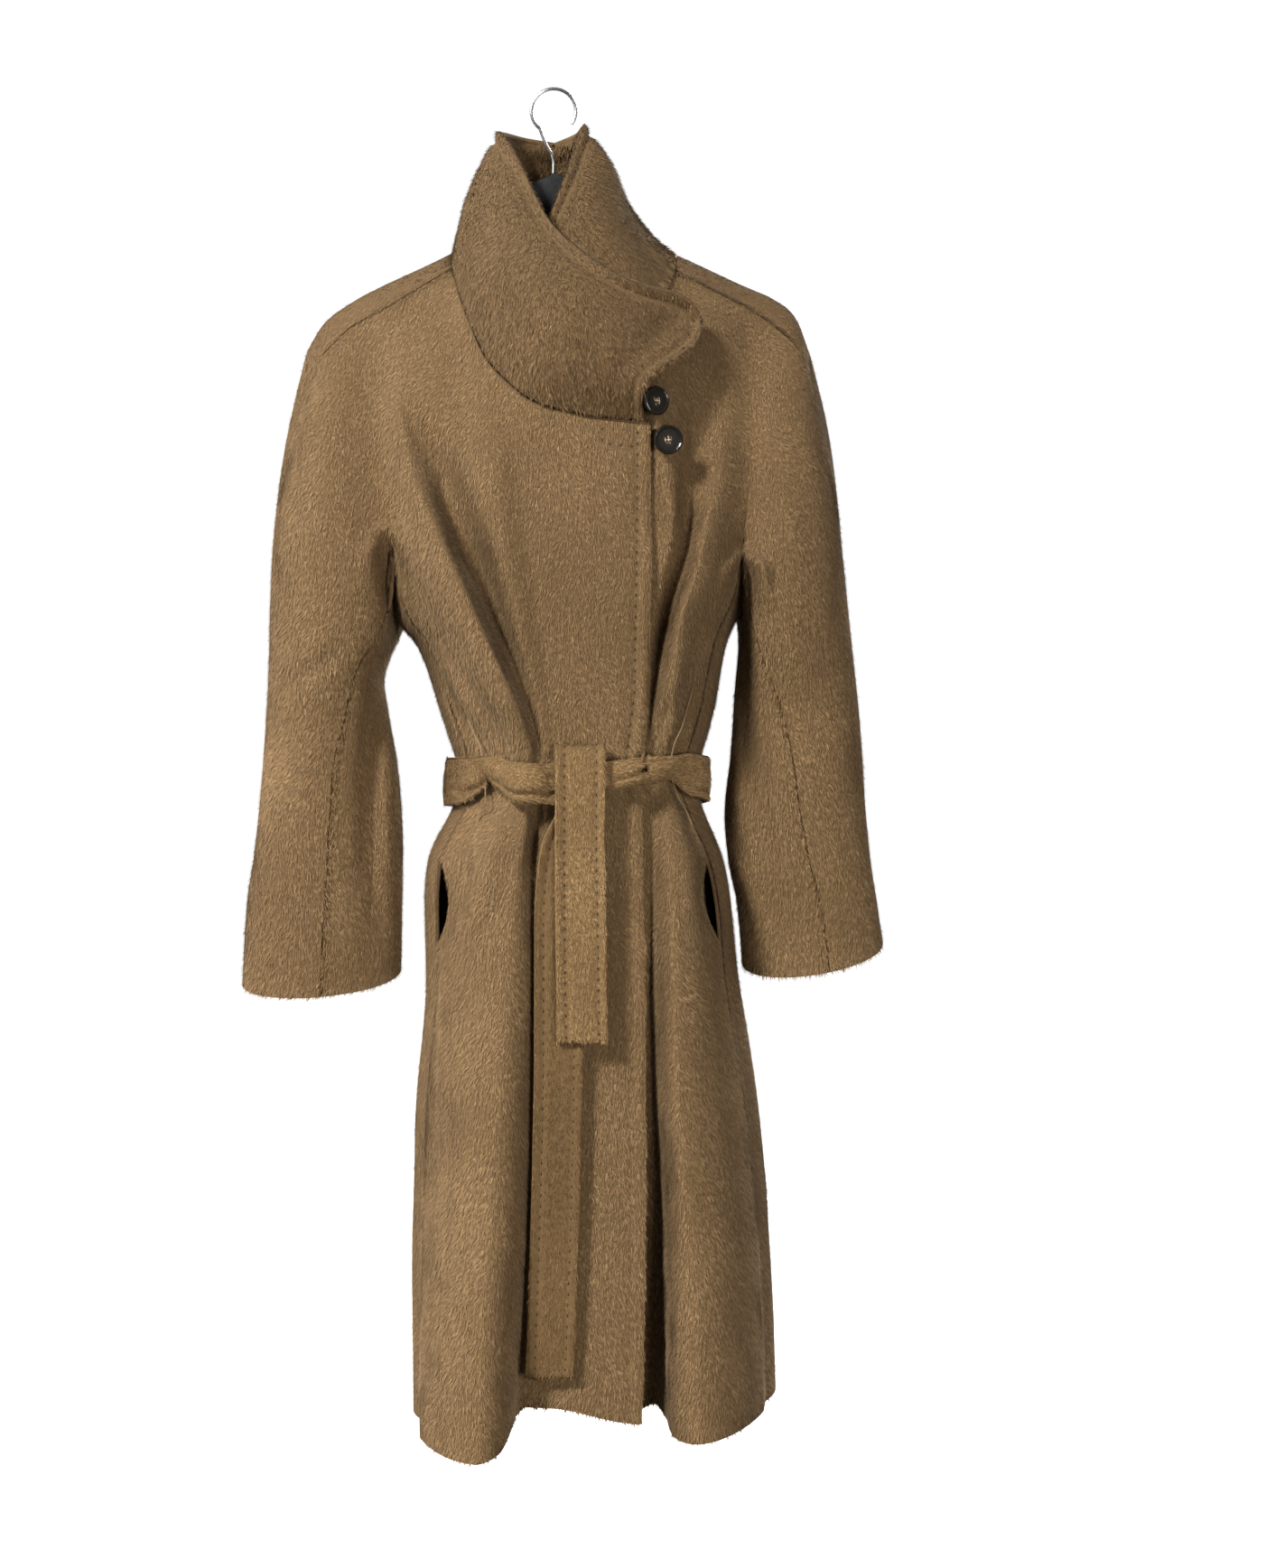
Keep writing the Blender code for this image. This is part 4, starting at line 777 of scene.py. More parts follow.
def back_grids(overarm):
    """The back; overarm holds the seam lines it shares with the two fronts."""
    share = np.linspace(0, 1, BACK_COLS * FINE + 1)
    body = []
    for d in BODY_LEVELS:
        settle = 1 - smoothstep((d - ARMPIT) / UNDERARM_RUN)
        body.append(back_point(share, np.full(len(share), d + (BACK_ARMPIT - ARMPIT) * settle)))
    body = np.array(body)
    wings = {side: wing_grid(side) for side in ("right", "left")}
    turns = {side: sleeve_turns(side, "back") for side in ("right", "left")}
    corners = {"right": body[0, 0], "left": body[0, -1]}
    arms = {side: armpit_row(side, turns[side], corners[side], ARM_COUNT) for side in turns}
    sleeves = {side: sleeve_leg(side, arms[side], turns[side], SLEEVE_SHARES) for side in turns}
    bottom = np.concatenate([arms["right"], body[0, 1:-1], arms["left"][::-1]])
    neck_cols = (BACK_COLS - 2 * SHOULDER_COLS) * FINE - 1
    x = np.linspace(BACK_NECK[0].x, BACK_NECK[-1].x, neck_cols)
    neck = table_point(BACK_NECK, x)
    top = np.concatenate([shoulder_line("right"), neck, shoulder_line("left")[::-1]])
    low_neck = neck + np.array(NECK_STEP)
    ridge = np.concatenate([ridge_line("right"), low_neck, ridge_line("left")[::-1]])
    levels = np.linspace(0, 1, (UPPER_ROWS - 1) * FINE + 1)
    lower = upper_grid(ridge, bottom, levels, BACK_EASE, BACK_FOLDS, 1)
    strip = []
    for t in np.linspace(0, 1, FINE + 1)[:-1]:
        strip.append(top + (ridge - top) * t - np.array([0, 0, SHOULDER_RISE]) * math.sin(math.pi * t))
    strip[0] = top.copy()
    upper = np.concatenate([np.array(strip), lower])
    upper[:, 0] = overarm["right"]
    upper[:, -1] = overarm["left"]
    return upper, sleeves, body, wings


def under_sleeve(side):
    return sleeve_leg(side, wing_grid(side)[0], sleeve_turns(side, "under"), SLEEVE_SHARES)


def faces_of(shape):
    rows, cols = shape
    at = np.arange(rows * cols).reshape(rows, cols)
    return np.stack([at[:-1, :-1], at[1:, :-1], at[1:, 1:], at[:-1, 1:]], -1).reshape(-1, 4)


def unit(v):
    return v / np.maximum(np.linalg.norm(v, axis=-1, keepdims=True), 1e-9)


def quad_sides(quads):
    sides = np.concatenate([quads[:, [k, (k + 1) % 4]] for k in range(4)])
    return sides[sides[:, 0] != sides[:, 1]]


def quad_cross(points, quads):
    ring = points[quads]
    return np.cross(ring[:, 2] - ring[:, 0], ring[:, 3] - ring[:, 1])


def facing_of(points, quads):
    """Outward directions at the points of a sheet."""
    area = quad_cross(points, quads)
    total = np.zeros_like(points)
    for k in range(4):
        np.add.at(total, quads[:, k], -area)
    return unit(total)


class Cloth:
    """The coat's panels as one welded sheet, so that both sides of a seam bend alike."""

    def __init__(self):
        self.index = {}
        self.points = []
        self.panels = {}

    def add(self, panel, grid, flip):
        numbers = []
        for p in grid.reshape(-1, 3):
            key = tuple(np.round(p, 3))
            if key not in self.index:
                self.index[key] = len(self.points)
                self.points.append(p)
            numbers.append(self.index[key])
        quads = np.array(numbers)[faces_of(grid.shape[:2])]
        self.panels.setdefault(panel, []).append(quads[:, ::-1] if flip else quads)


class Waves:
    """Seeded smooth noise from a few long waves."""

    def __init__(self, rng, count, shortest, longest, stretch=(1, 1, 1)):
        way = unit(rng.normal(size=(count, 3)))
        length = np.exp(rng.uniform(math.log(shortest), math.log(longest), count))
        self.k = way * (2 * math.pi / length)[:, None] / np.array(stretch, float)
        self.phase = rng.uniform(0, 2 * math.pi, count)

    def at(self, points):
        total = np.zeros(len(points))
        for k, phase in zip(self.k, self.phase):
            total += np.sin(points @ k + phase)
        return total / math.sqrt(len(self.phase) / 2)


def crease_depth(points, facing, creases):
    """How far back the fine creases set the cloth."""
    total = np.zeros(len(points))
    flat = points[:, [0, 2]]
    for name, line in creases.items():
        way = 1 if name.startswith("back") else -1
        sharp = SHARP.get(name, 1)
        near = np.full(len(points), 1e9)
        depth = np.zeros(len(points))
        for a, b in zip(line, line[1:]):
            start = np.array([a.x, a.down])
            run = np.array([b.x - a.x, b.down - a.down])
            t = np.clip(((flat - start) @ run) / (run @ run), 0, 1)
            aside = flat - start - t[:, None] * run
            off = np.linalg.norm(aside, axis=1)
            reach = (a.reach + (b.reach - a.reach) * t) * np.where(aside[:, 0] < 0, sharp, 1)
            here = off / reach
            closer = here < near
            near = np.where(closer, here, near)
            depth = np.where(closer, a.depth + (b.depth - a.depth) * t, depth)
        shape = (1 - np.clip(near, 0, 1) ** 2) ** 2
        total -= way * depth * shape * np.clip(way * facing[:, 1] * CREASE_FADE, 0, 1)
    return total


def chest_shift(points, facing):
    """How far the chest fold moves across the front."""
    down = points[:, 2]
    live = (down > CHEST_SHIFT[0].down) & (down < CHEST_SHIFT[-1].down)
    off = (points[:, 0] - column(CHEST_SHIFT, "x", down)) / column(CHEST_SHIFT, "reach", down)
    near = np.exp(-(off**2)) * np.clip(-SHIFT_FADE * facing[:, 1], 0, 1)
    return np.where(live, column(CHEST_SHIFT, "depth", down) * near, 0)


def soften(points, facing, quads, lines):
    """Round off the bends along some lines, by moving points back or forward alone."""
    weight = np.zeros(len(points))
    for rows in lines:
        across = (points[:, 0] - column(rows, "x", points[:, 2])) / column(rows, "reach", points[:, 2])
        share = column(rows, "depth", points[:, 2])
        weight = np.maximum(weight, share * np.exp(-(across ** 2)))
    weight *= np.abs(facing[:, 1]) > SOFTEN_FACING
    sides = np.concatenate([quads[:, [k, (k + 1) % 4]] for k in range(4)])
    sides = np.concatenate([sides, sides[:, ::-1]])
    near, other = sides[weight[sides[:, 0]] > SOFTEN_LEAST].T
    count = np.maximum(np.bincount(near, minlength=len(points)), 1)
    depth = points[:, 1].copy()
    for step in range(SOFTEN_PASSES):
        mean = np.bincount(near, weights=depth[other], minlength=len(points)) / count
        depth += 0.5 * weight * (mean - depth) * (count > 1)
    return depth


def real(points):
    """Table millimetres to metres, with Z up."""
    p = np.asarray(points, float)
    return np.stack([p[..., 0], p[..., 1], -p[..., 2]], -1) * MM


def fast_mesh(name, verts, quads):
    """A mesh of quads, some of which may have two corners alike."""
    faces = []
    for q in quads.tolist():
        face = [n for i, n in enumerate(q) if n != q[i - 1]]
        if len(face) > 2:
            faces.append(face)
    mesh = bpy.data.meshes.new(name)
    mesh.from_pydata(real(verts).tolist(), [], faces)
    mesh.polygons.foreach_set("use_smooth", np.ones(len(mesh.polygons), bool))
    mesh.update()
    return mesh


def round_wall(name, points, quads, facing, thick, soft=1.0):
    """A closed wall with a rounded edge. Thick may be one size or one for each point."""
    used = np.unique(quads)
    place = np.zeros(len(points), int)
    place[used] = np.arange(len(used))
    local = place[quads]
    outer = points[used].copy()
    out = facing[used]
    thick = np.broadcast_to(thick, len(points))[used]
    have = set(map(tuple, quad_sides(local).tolist()))
    border = [(a, b) for a, b in have if (b, a) not in have]
    centre = outer[local].mean(1)
    inward = np.zeros_like(outer)
    for k in range(4):
        np.add.at(inward, local[:, k], centre - outer[local[:, k]])
    inward -= out * (inward * out).sum(1, keepdims=True)
    inward = unit(inward)
    rim = np.array(sorted({n for pair in border for n in pair}))
    half = 0.5 * thick
    edge = outer[rim] - out[rim] * half[rim, None]
    outer[rim] += inward[rim] * half[rim, None] * soft
    inner = outer - out * thick[:, None]
    count = len(outer)
    ring_of = np.zeros(count, int)
    ring_of[rim] = np.arange(len(rim))
    rings = []
    for step in range(1, RIM_STEPS):
        turn = math.pi * step / RIM_STEPS
        up = half[rim, None] * math.cos(turn)
        back = half[rim, None] * soft * (1 - math.sin(turn))
        rings.append(edge + out[rim] * up + inward[rim] * back)
    verts = np.concatenate([outer, inner] + rings)
    solid = [local, local[:, ::-1] + count]
    pairs = np.array(border)
    chain = [pairs]
    for step in range(RIM_STEPS - 1):
        chain.append(ring_of[pairs] + 2 * count + step * len(rim))
    chain.append(pairs + count)
    for a, b in zip(chain, chain[1:]):
        solid.append(np.stack([a[:, 0], b[:, 0], b[:, 1], a[:, 1]], -1)[:, ::-1])
    mesh = fast_mesh(name, verts, np.concatenate(solid))
    return mesh, outer, local, out


def scatter(rng, points, quads, facing, count):
    """Points spread evenly over a sheet, with the directions it faces there."""
    total = np.cumsum(np.linalg.norm(quad_cross(points, quads), axis=1))
    pick = np.searchsorted(total / total[-1], (np.arange(count) + rng.random(count)) / count)
    pick = np.minimum(pick, len(quads) - 1)
    a, b = rng.random((2, count, 1))
    share = np.concatenate([(1 - a) * (1 - b), a * (1 - b), a * b, (1 - a) * b], 1)
    place = (points[quads[pick]] * share[..., None]).sum(1)
    out = unit((facing[quads[pick]] * share[..., None]).sum(1))
    return place, out


Nap = namedtuple("Nap", "length width lift_low lift_high sway jitter tone speckle")
COAT_NAP = Nap(4.6, 0.8, 12, 32, 0.24, 0.15, 0.5, 0.1)
# The collar's pile sits lower on the ramp than the coat's: painted shade over the whole collar.
COLLAR_NAP_PAINTED_SHADE = Nap(4.8, 1.0, 12, 36, 0.26, 0.16, 0.2, 0.16)
BELT_NAP = Nap(4.0, 0.8, 10, 30, 0.24, 0.16, 0.5, 0.1)
# The long tail's pile is painted darker than the belt's: painted shade where it hangs behind the short tail.
TAIL_NAP_PAINTED_SHADE = BELT_NAP._replace(tone=0.22)
# The nap of the coat lies a little outward on both sides of its middle.
COAT_MIDDLE = 10
LIE_OUTWARD = 0.12
LENGTHS = (0.65, 1.3)
WIDTHS = (0.6, 1.4)
PRESS_SHARE = 0.65
# Tone offsets for a tuft's two root corners and its tip: painted shade at the roots, painted light at the
# tips.
ROOT_TIP_PAINTED_SHADING = (-0.2, -0.2, 0.14)
NORMAL_MIX = 0.65
ROOT_SINK = 0.4
STITCH_CLEAR = 2.1
STITCH_PRESS = 3.8


def tuft_mesh(name, corners, normals, tone):
    """Loose triangles with their own shading directions, tone and bake map."""
    count = len(corners)
    mesh = bpy.data.meshes.new(name)
    mesh.vertices.add(3 * count)
    mesh.vertices.foreach_set("co", real(corners).astype(np.float32).ravel())
    mesh.loops.add(3 * count)
    mesh.loops.foreach_set("vertex_index", np.arange(3 * count, dtype=np.int32))
    mesh.polygons.add(count)
    mesh.polygons.foreach_set("loop_start", np.arange(0, 3 * count, 3, dtype=np.int32))
    mesh.polygons.foreach_set("use_smooth", np.ones(count, bool))
    shade = mesh.attributes.new("tone", "FLOAT", "POINT")
    shade.data.foreach_set("value", tone.astype(np.float32).ravel())
    side = math.ceil(math.sqrt(count))
    cell = np.stack([np.arange(count) % side, np.arange(count) // side], -1)
    spot = np.array([[0.15, 0.15], [0.85, 0.15], [0.5, 0.85]])
    chart = mesh.uv_layers.new(name="OFBake")
    chart.data.foreach_set("uv", ((cell[:, None] + spot) / side).astype(np.float32).ravel())
    mesh.update(calc_edges=True)
    turned = normals * np.array([1, 1, -1.0])
    mesh.normals_split_custom_set_from_vertices(turned.reshape(-1, 3).tolist())
    return mesh


def comb(rng, name, sheets, count, kind, stitches, along=(0.0, -0.12, 1.0)):
    """Nap brushed over a piece's sheets: one thin triangle for each lock of pile."""
    areas = [np.linalg.norm(quad_cross(points, quads), axis=1).sum() for points, quads, facing in sheets]
    shares = np.round(count * np.array(areas) / sum(areas)).astype(int)
    spots = [scatter(rng, *sheet, n) for sheet, n in zip(sheets, shares)]
    place = np.concatenate([s[0] for s in spots])
    out = np.concatenate([s[1] for s in spots])
    n = len(place)
    outward = LIE_OUTWARD * np.sign(place[:, 0] - COAT_MIDDLE)
    way = np.array(along, float) + outward[:, None] * np.array([1, 0, 0])
    lie = unit(way - out * (way * out).sum(1, keepdims=True))
    cross = np.cross(out, lie)
    sway = kind.sway * (0.6 * LIE_WIDE.at(place) + 0.7 * LIE_FINE.at(place))
    sway += kind.jitter * rng.normal(size=n)
    run = lie * np.cos(sway)[:, None] + cross * np.sin(sway)[:, None]
    wide = np.cross(out, run)
    clump = TONE_FINE.at(place)
    lift = np.radians(rng.uniform(kind.lift_low, kind.lift_high, n) + 2 * clump)
    length = kind.length * rng.uniform(*LENGTHS, n) * (1 + 0.08 * clump)
    width = kind.width * rng.uniform(*WIDTHS, n)
    for spot in stitches:
        pressed = 1 - PRESS_SHARE * np.exp(-((place - spot) ** 2).sum(1) / STITCH_PRESS**2)
        length *= pressed
        lift *= pressed
    root = place - out * ROOT_SINK
    tip = place + run * (length * np.cos(lift))[:, None] + out * (length * np.sin(lift))[:, None]
    keep = np.ones(n, bool)
    middle = 0.5 * (root + tip)
    for spot in stitches:
        keep &= ((middle - spot) ** 2).sum(1) > STITCH_CLEAR**2
    half = wide * (0.5 * width)[:, None]
    corners = np.stack([root - half, root + half, tip], 1)
    flat = unit(np.cross(2 * half, tip - root))
    flat *= np.sign((flat * out).sum(1, keepdims=True))
    soft = unit(flat * (1 - NORMAL_MIX) + out * NORMAL_MIX)
    normals = np.repeat(soft[:, None], 3, 1)
    # A piece's tone below the coat's 0.5 is painted shade; the clump and speckle terms are the pile's own
    # random tone.
    tone = kind.tone + 0.5 * kind.speckle * clump + 0.03 * TONE_WIDE.at(place)
    tone += kind.speckle * rng.normal(size=n)
    # Each tuft is painted dark at its root and pale at its tip: painted shading.
    tone = tone[:, None] + np.array(ROOT_TIP_PAINTED_SHADING)
    return tuft_mesh(name, corners[keep], normals[keep], tone[keep])


rng = np.random.default_rng(11)
FORM = Waves(rng, 10, 70, 220, (1, 1, 1.6))
LIE_WIDE = Waves(rng, 8, 80, 240)
LIE_FINE = Waves(rng, 12, 14, 50, (1, 1, 1.8))
TONE_WIDE = Waves(rng, 8, 60, 200)
TONE_FINE = Waves(rng, 20, 2.0, 4.2, (1, 1, 3.2))


def socket(node, name, value):
    node.inputs[name].default_value = value


def new_material(name):
    made = bpy.data.materials.new(name)
    made.use_nodes = True
    return made, made.node_tree, made.node_tree.nodes["Principled BSDF"]


def ramp(tree, stops):
    node = tree.nodes.new("ShaderNodeValToRGB")
    band = node.color_ramp
    while len(band.elements) < len(stops):
        band.elements.new(0.5)
    for element, (at, colour) in zip(band.elements, stops):
        element.position = at
        element.color = (*colour, 1)
    return node


def dye(tree, shader, value, stops):
    """Colour a surface by a value, through a ramp."""
    colours = ramp(tree, stops)
    tree.links.new(value, colours.inputs["Fac"])
    tree.links.new(colours.outputs["Color"], shader.inputs["Base Color"])


def worked(tree, operation, *values):
    """A sum worked out from sockets and plain numbers."""
    node = tree.nodes.new("ShaderNodeMath")
    node.operation = operation
    for at, value in enumerate(values):
        if isinstance(value, float):
            socket(node, at, value)
        else:
            tree.links.new(value, node.inputs[at])
    return node.outputs["Value"]


def object_noise(tree, scale, detail=3.0, stretch=(1, 1, 1)):
    place = tree.nodes.new("ShaderNodeTexCoord")
    sized = tree.nodes.new("ShaderNodeMapping")
    socket(sized, "Scale", stretch)
    tree.links.new(place.outputs["Object"], sized.inputs["Vector"])
    noise = tree.nodes.new("ShaderNodeTexNoise")
    socket(noise, "Scale", scale)
    socket(noise, "Detail", detail)
    tree.links.new(sized.outputs["Vector"], noise.inputs["Vector"])
    return noise


# How much the pile's tone varies in wide patches.
PATCHES = 0.08


def pile_material(name, stops, sheen):
    """Pile whose tone runs from dark roots to pale tips: painted shade at the roots and painted light at the
    tips.
    """
    made, tree, shader = new_material(name)
    tone = tree.nodes.new("ShaderNodeAttribute")
    tone.attribute_name = "tone"
    wide = object_noise(tree, 14, 2)
    varied = worked(tree, "MULTIPLY_ADD", wide.outputs["Fac"], PATCHES, tone.outputs["Fac"])
    dye(tree, shader, worked(tree, "SUBTRACT", varied, 0.5 * PATCHES), stops)
    socket(shader, "Roughness", 0.85)
    socket(shader, "Specular IOR Level", 0.15)
    socket(shader, "Sheen Weight", sheen)
    socket(shader, "Sheen Roughness", 0.5)
    socket(shader, "Sheen Tint", (0.9, 0.7, 0.46, 1))
    return made


def cloth_material(name, dark, light, scale, bump):
    """The woven ground under the pile, and the plain inside."""
    made, tree, shader = new_material(name)
    noise = object_noise(tree, scale, 4, (1, 1, 0.5))
    dye(tree, shader, noise.outputs["Fac"], ((0.3, dark), (0.7, light)))
    rough = tree.nodes.new("ShaderNodeBump")
    socket(rough, "Strength", 0.5)
    socket(rough, "Distance", bump * MM)
    tree.links.new(noise.outputs["Fac"], rough.inputs["Height"])
    tree.links.new(rough.outputs["Normal"], shader.inputs["Normal"])
    socket(shader, "Roughness", 0.92)
    socket(shader, "Specular IOR Level", 0.15)
    return made


PILE_STOPS = ((0.05, (0.078, 0.043, 0.0162)), (0.5, (0.228, 0.136, 0.059)), (0.95, (0.45, 0.3, 0.153)))
BELT_STOPS = ((0.05, (0.09, 0.049, 0.017)), (0.5, (0.265, 0.158, 0.065)), (0.95, (0.5, 0.335, 0.165)))
pile_look = pile_material("pile", PILE_STOPS, 0.4)
belt_pile_look = pile_material("belt_pile", BELT_STOPS, 0.3)
# The grounds are darker than the pile's middle tone: partly the cloth's own ground, partly painted shade
# showing between the tufts. They also make the plain inside.
ground_look = cloth_material("pile_ground", (0.095, 0.058, 0.027), (0.145, 0.09, 0.042), 600, 0.3)
belt_ground_look = cloth_material("belt_ground", (0.11, 0.066, 0.028), (0.165, 0.1, 0.043), 600, 0.3)
# The pocket bag is coloured darker than the coat's ground: painted shade inside the slits.
pocket_look = cloth_material("pocket_ground", (0.05, 0.034, 0.022), (0.08, 0.055, 0.036), 500, 0.2)
stitch_look = cloth_material("stitch_thread", (0.03, 0.018, 0.009), (0.06, 0.036, 0.018), 900, 0.1)
thread_look = cloth_material("carrier_thread", (0.16, 0.105, 0.055), (0.26, 0.175, 0.095), 1200, 0.15)


def show(name, mesh, look):
    thing = bpy.data.objects.new(name, mesh)
    mesh.materials.append(look)
    bpy.context.scene.collection.objects.link(thing)
    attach(thing, "root")
    return thing


Cut = namedtuple("Cut", "width length area held rests_on tufts")
CUTS = {
    "front_right": Cut(0.50, 1.10, 0.30, "hung", ("hanger_body",), 180000),
    "front_left": Cut(0.46, 1.10, 0.265, "hung", ("hanger_body",), 150000),
    "back": Cut(1.00, 1.12, 0.69, "hung", ("hanger_body",), 170000),
    "under_sleeve_right": Cut(0.17, 0.40, 0.05, "hung", ("back",), 30000),
    "under_sleeve_left": Cut(0.17, 0.40, 0.05, "hung", ("back",), 30000),
    "collar_right": Cut(0.36, 0.15, 0.046, "draped", ("front_right",), 42000),
    "collar_left": Cut(0.28, 0.14, 0.032, "draped", ("front_left",), 28000),
    "belt_round": Cut(0.55, 0.05, 0.0266, "stretched", ("front_right",), 18000),
    "belt_tail_short": Cut(0.048, 0.34, 0.0156, "hung", ("belt_round",), 12000),
    "belt_tail_long": Cut(0.048, 0.50, 0.0236, "hung", ("belt_round",), 14000),
}

cloth = Cloth()
fronts = {"right": front_grids("right", RIGHT_COLS), "left": front_grids("left", LEFT_COLS)}
for side, grids in fronts.items():
    for grid in grids:
        cloth.add("front_" + side, grid, side == "left")
upper, sleeves, body, wings = back_grids({side: grids[0][:, 0] for side, grids in fronts.items()})
for grid in (upper, body):
    cloth.add("back", grid, True)
for pair in (sleeves, wings):
    for side, grid in pair.items():
        cloth.add("back", grid, side == "right")
for side in fronts:
    cloth.add("under_sleeve_" + side, under_sleeve(side), side == "left")
panels = {name: np.concatenate(parts) for name, parts in cloth.panels.items()}
points = np.array(cloth.points)
every = np.concatenate(list(panels.values()))
facing = facing_of(points, every)
points = points + facing * (UNDULATION * FORM.at(points) * 0.5)[:, None]
points[:, 0] += chest_shift(points, facing)
points[:, 1] = soften(points, facing, every, SLEEVE_BENDS)
points[:, 1] += crease_depth(points, facing, CREASES)
points[:, 1] = soften(points, facing, every, FOLD_STARTS)
facing = facing_of(points, every)


NECK_LOWEST = 330.0
SEAT_REACH = 9.0
SEAT_SHARE = 0.35
EASE_START = 0.3
EASE_SHARE = 0.4
EASE_PASSES = 10
COLLAR_SWELL = 7.0
COLLAR_LEAN = 16.0
COLLAR_CREASES = tables(Crease, {
    "short_end": (
        (52, 292, 0, 14), (74, 268, 3.5, 18), (100, 236, 3, 18), (120, 214, 0, 14),
    ),
    "throat": (
        (-52, 210, 0, 16), (-30, 240, 3, 18), (4, 262, 0, 16),
    ),
    "wing": (
        (30, 66, 0, 8), (24, 92, 4, 10), (16, 118, 4, 10), (8, 140, 0, 8),
    ),
})
CORNER = Point(133, -109, 228)
CORNER_TUCK = 32.0
CORNER_REACH = 64.0
# The short end bulges this far below its corner, and the corner is drawn in to a round.
END_BULGE = 25.0
END_MIDDLE = 0.74
END_SPREAD = 0.23
END_SHARE = 0.22
CORNER_ROUND = Point(-4, 0, 4)
CORNER_SMALL = 11.0
EDGE_RAISE = 12.0
RAISE_MIDDLE = 0.935
RAISE_SPREAD = 0.075
COLLAR_INSET = 12.0
BELT_INSET = 9.5
PITCH = 9.5
BEAD = (1.5, 0.62, 0.55)
BEAD_SIDES = 8
BEAD_RINGS = 5


def spaced(line, pitch=PITCH):
    """Places at an even pitch along a line of points, with the way it runs there."""
    step = np.linalg.norm(np.diff(line, axis=0), axis=1)
    along = np.concatenate([[0], np.cumsum(step)])
    at = np.arange(0.5 * pitch, along[-1], pitch)
    behind, place, ahead = (np.stack([np.interp(at + step, along, line[:, k]) for k in range(3)], -1)
                            for step in (-1, 0, 1))
    return place, unit(ahead - behind)


def nearest_facing(points, facing, places):
    return np.array([facing[np.argmin(((points - p) ** 2).sum(1))] for p in places])


def sewn_along(lines, points, facing):
    """Stitches on some lines of a sheet: their places, the way they run and the way they face."""
    spots = [spaced(line) for line in lines]
    places = np.concatenate([place for place, way in spots])
    ways = np.concatenate([way for place, way in spots])
    return places, ways, nearest_facing(points, facing, places)


def round_ball(sides, rings):
    """A ball of radius 1 as a grid of points, its pole along the third axis."""
    turn = np.linspace(0, 2 * math.pi, sides + 1)
    tilt = np.linspace(-0.5 * math.pi, 0.5 * math.pi, rings + 1)
    return np.stack([np.outer(np.cos(tilt), np.cos(turn)), np.outer(np.cos(tilt), np.sin(turn)),
                     np.outer(np.sin(tilt), np.ones_like(turn))], -1)


def bead_mesh(name, places, ways, outs):
    """Short thread ends, one for each stitch that shows."""
    ball = round_ball(BEAD_SIDES, BEAD_RINGS)[..., [2, 0, 1]].reshape(-1, 3) * np.array(BEAD)
    cross = np.cross(outs, ways)
    frames = np.stack([ways, cross, outs], 1)
    verts = places[:, None] + np.einsum("vk,nkc->nvc", ball, frames)
    quads = faces_of((BEAD_RINGS + 1, BEAD_SIDES + 1))
    quads = np.concatenate([quads + i * len(ball) for i in range(len(places))])
    return fast_mesh(name, verts.reshape(-1, 3), quads)


Sewn = namedtuple("Sewn", "x down")
FRONT_STITCHES = (
    (Sewn(77, 324), Sewn(76.5, 425), Sewn(74, 560), Sewn(68, 607)),
    (Sewn(46, 321), Sewn(46, 338), Sewn(72, 341)),
)


def front_sewn(points, facing):
    """Stitches down the front edge and in a box at its top."""
    ahead = facing[:, 1] < FACES_AHEAD
    places = []
    ways = []
    outs = []
    for rows in FRONT_STITCHES:
        down = np.array([[r.x, 0, r.down] for r in rows], float)
        spots, runs = spaced(down)
        for spot, run in zip(spots, runs):
            off = (points[ahead][:, [0, 2]] - spot[[0, 2]]) ** 2
            close = np.argsort(off.sum(1))[:4]
            weight = 1 / (off[close].sum(1) + 0.5)
            weight /= weight.sum()
            out = unit((facing[ahead][close] * weight[:, None]).sum(0))
            spot[1] = (points[ahead][close][:, 1] * weight).sum()
            places.append(spot)
            outs.append(out)
            ways.append(unit(run - out * (run @ out)))
    return np.array(places), np.array(ways), np.array(outs)


def finish_piece(name, mesh, sheets, kind, looks, sewn=None, along=(0.0, -0.12, 1.0)):
    """One cloth piece: its wall, its nap and its stitches, with as many tufts as its cut gives."""
    cut = CUTS[name]
    ground, pile = looks
    wall = show(name + "_cloth", mesh, ground)
    spots = np.zeros((0, 3)) if sewn is None else sewn[0]
    nap = comb(rng, name + "_nap", sheets, cut.tufts, kind, spots, along)
    pieces = [show(name + "_nap", nap, pile)]
    if sewn is not None:
        pieces.append(show(name + "_stitches", bead_mesh(name + "_stitches", *sewn), stitch_look))
    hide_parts(name)


Lip = namedtuple("Lip", "inset swell sink")
FRONT_LIP = Lip(13.0, 1.5, 1.2)
COLLAR_LIP = Lip(COLLAR_INSET, 2.4, 2.0)
BELT_LIP = Lip(BELT_INSET, 1.2, 1.2)
# The roll's middle, its spread and the spread of the line pressed in, as shares of the inset.
LIP_MIDDLE = 0.4
LIP_SPREAD = 0.35
LIP_PRESSED = 0.28


def rolled_lip(away, kind):
    """The soft roll of a sewn edge: full between the edge and its stitches, pressed in along them."""
    swell = np.exp(-((away - LIP_MIDDLE * kind.inset) / (LIP_SPREAD * kind.inset)) ** 2)
    sink = np.exp(-((away - kind.inset) / (LIP_PRESSED * kind.inset)) ** 2)
    return kind.swell * swell - kind.sink * sink


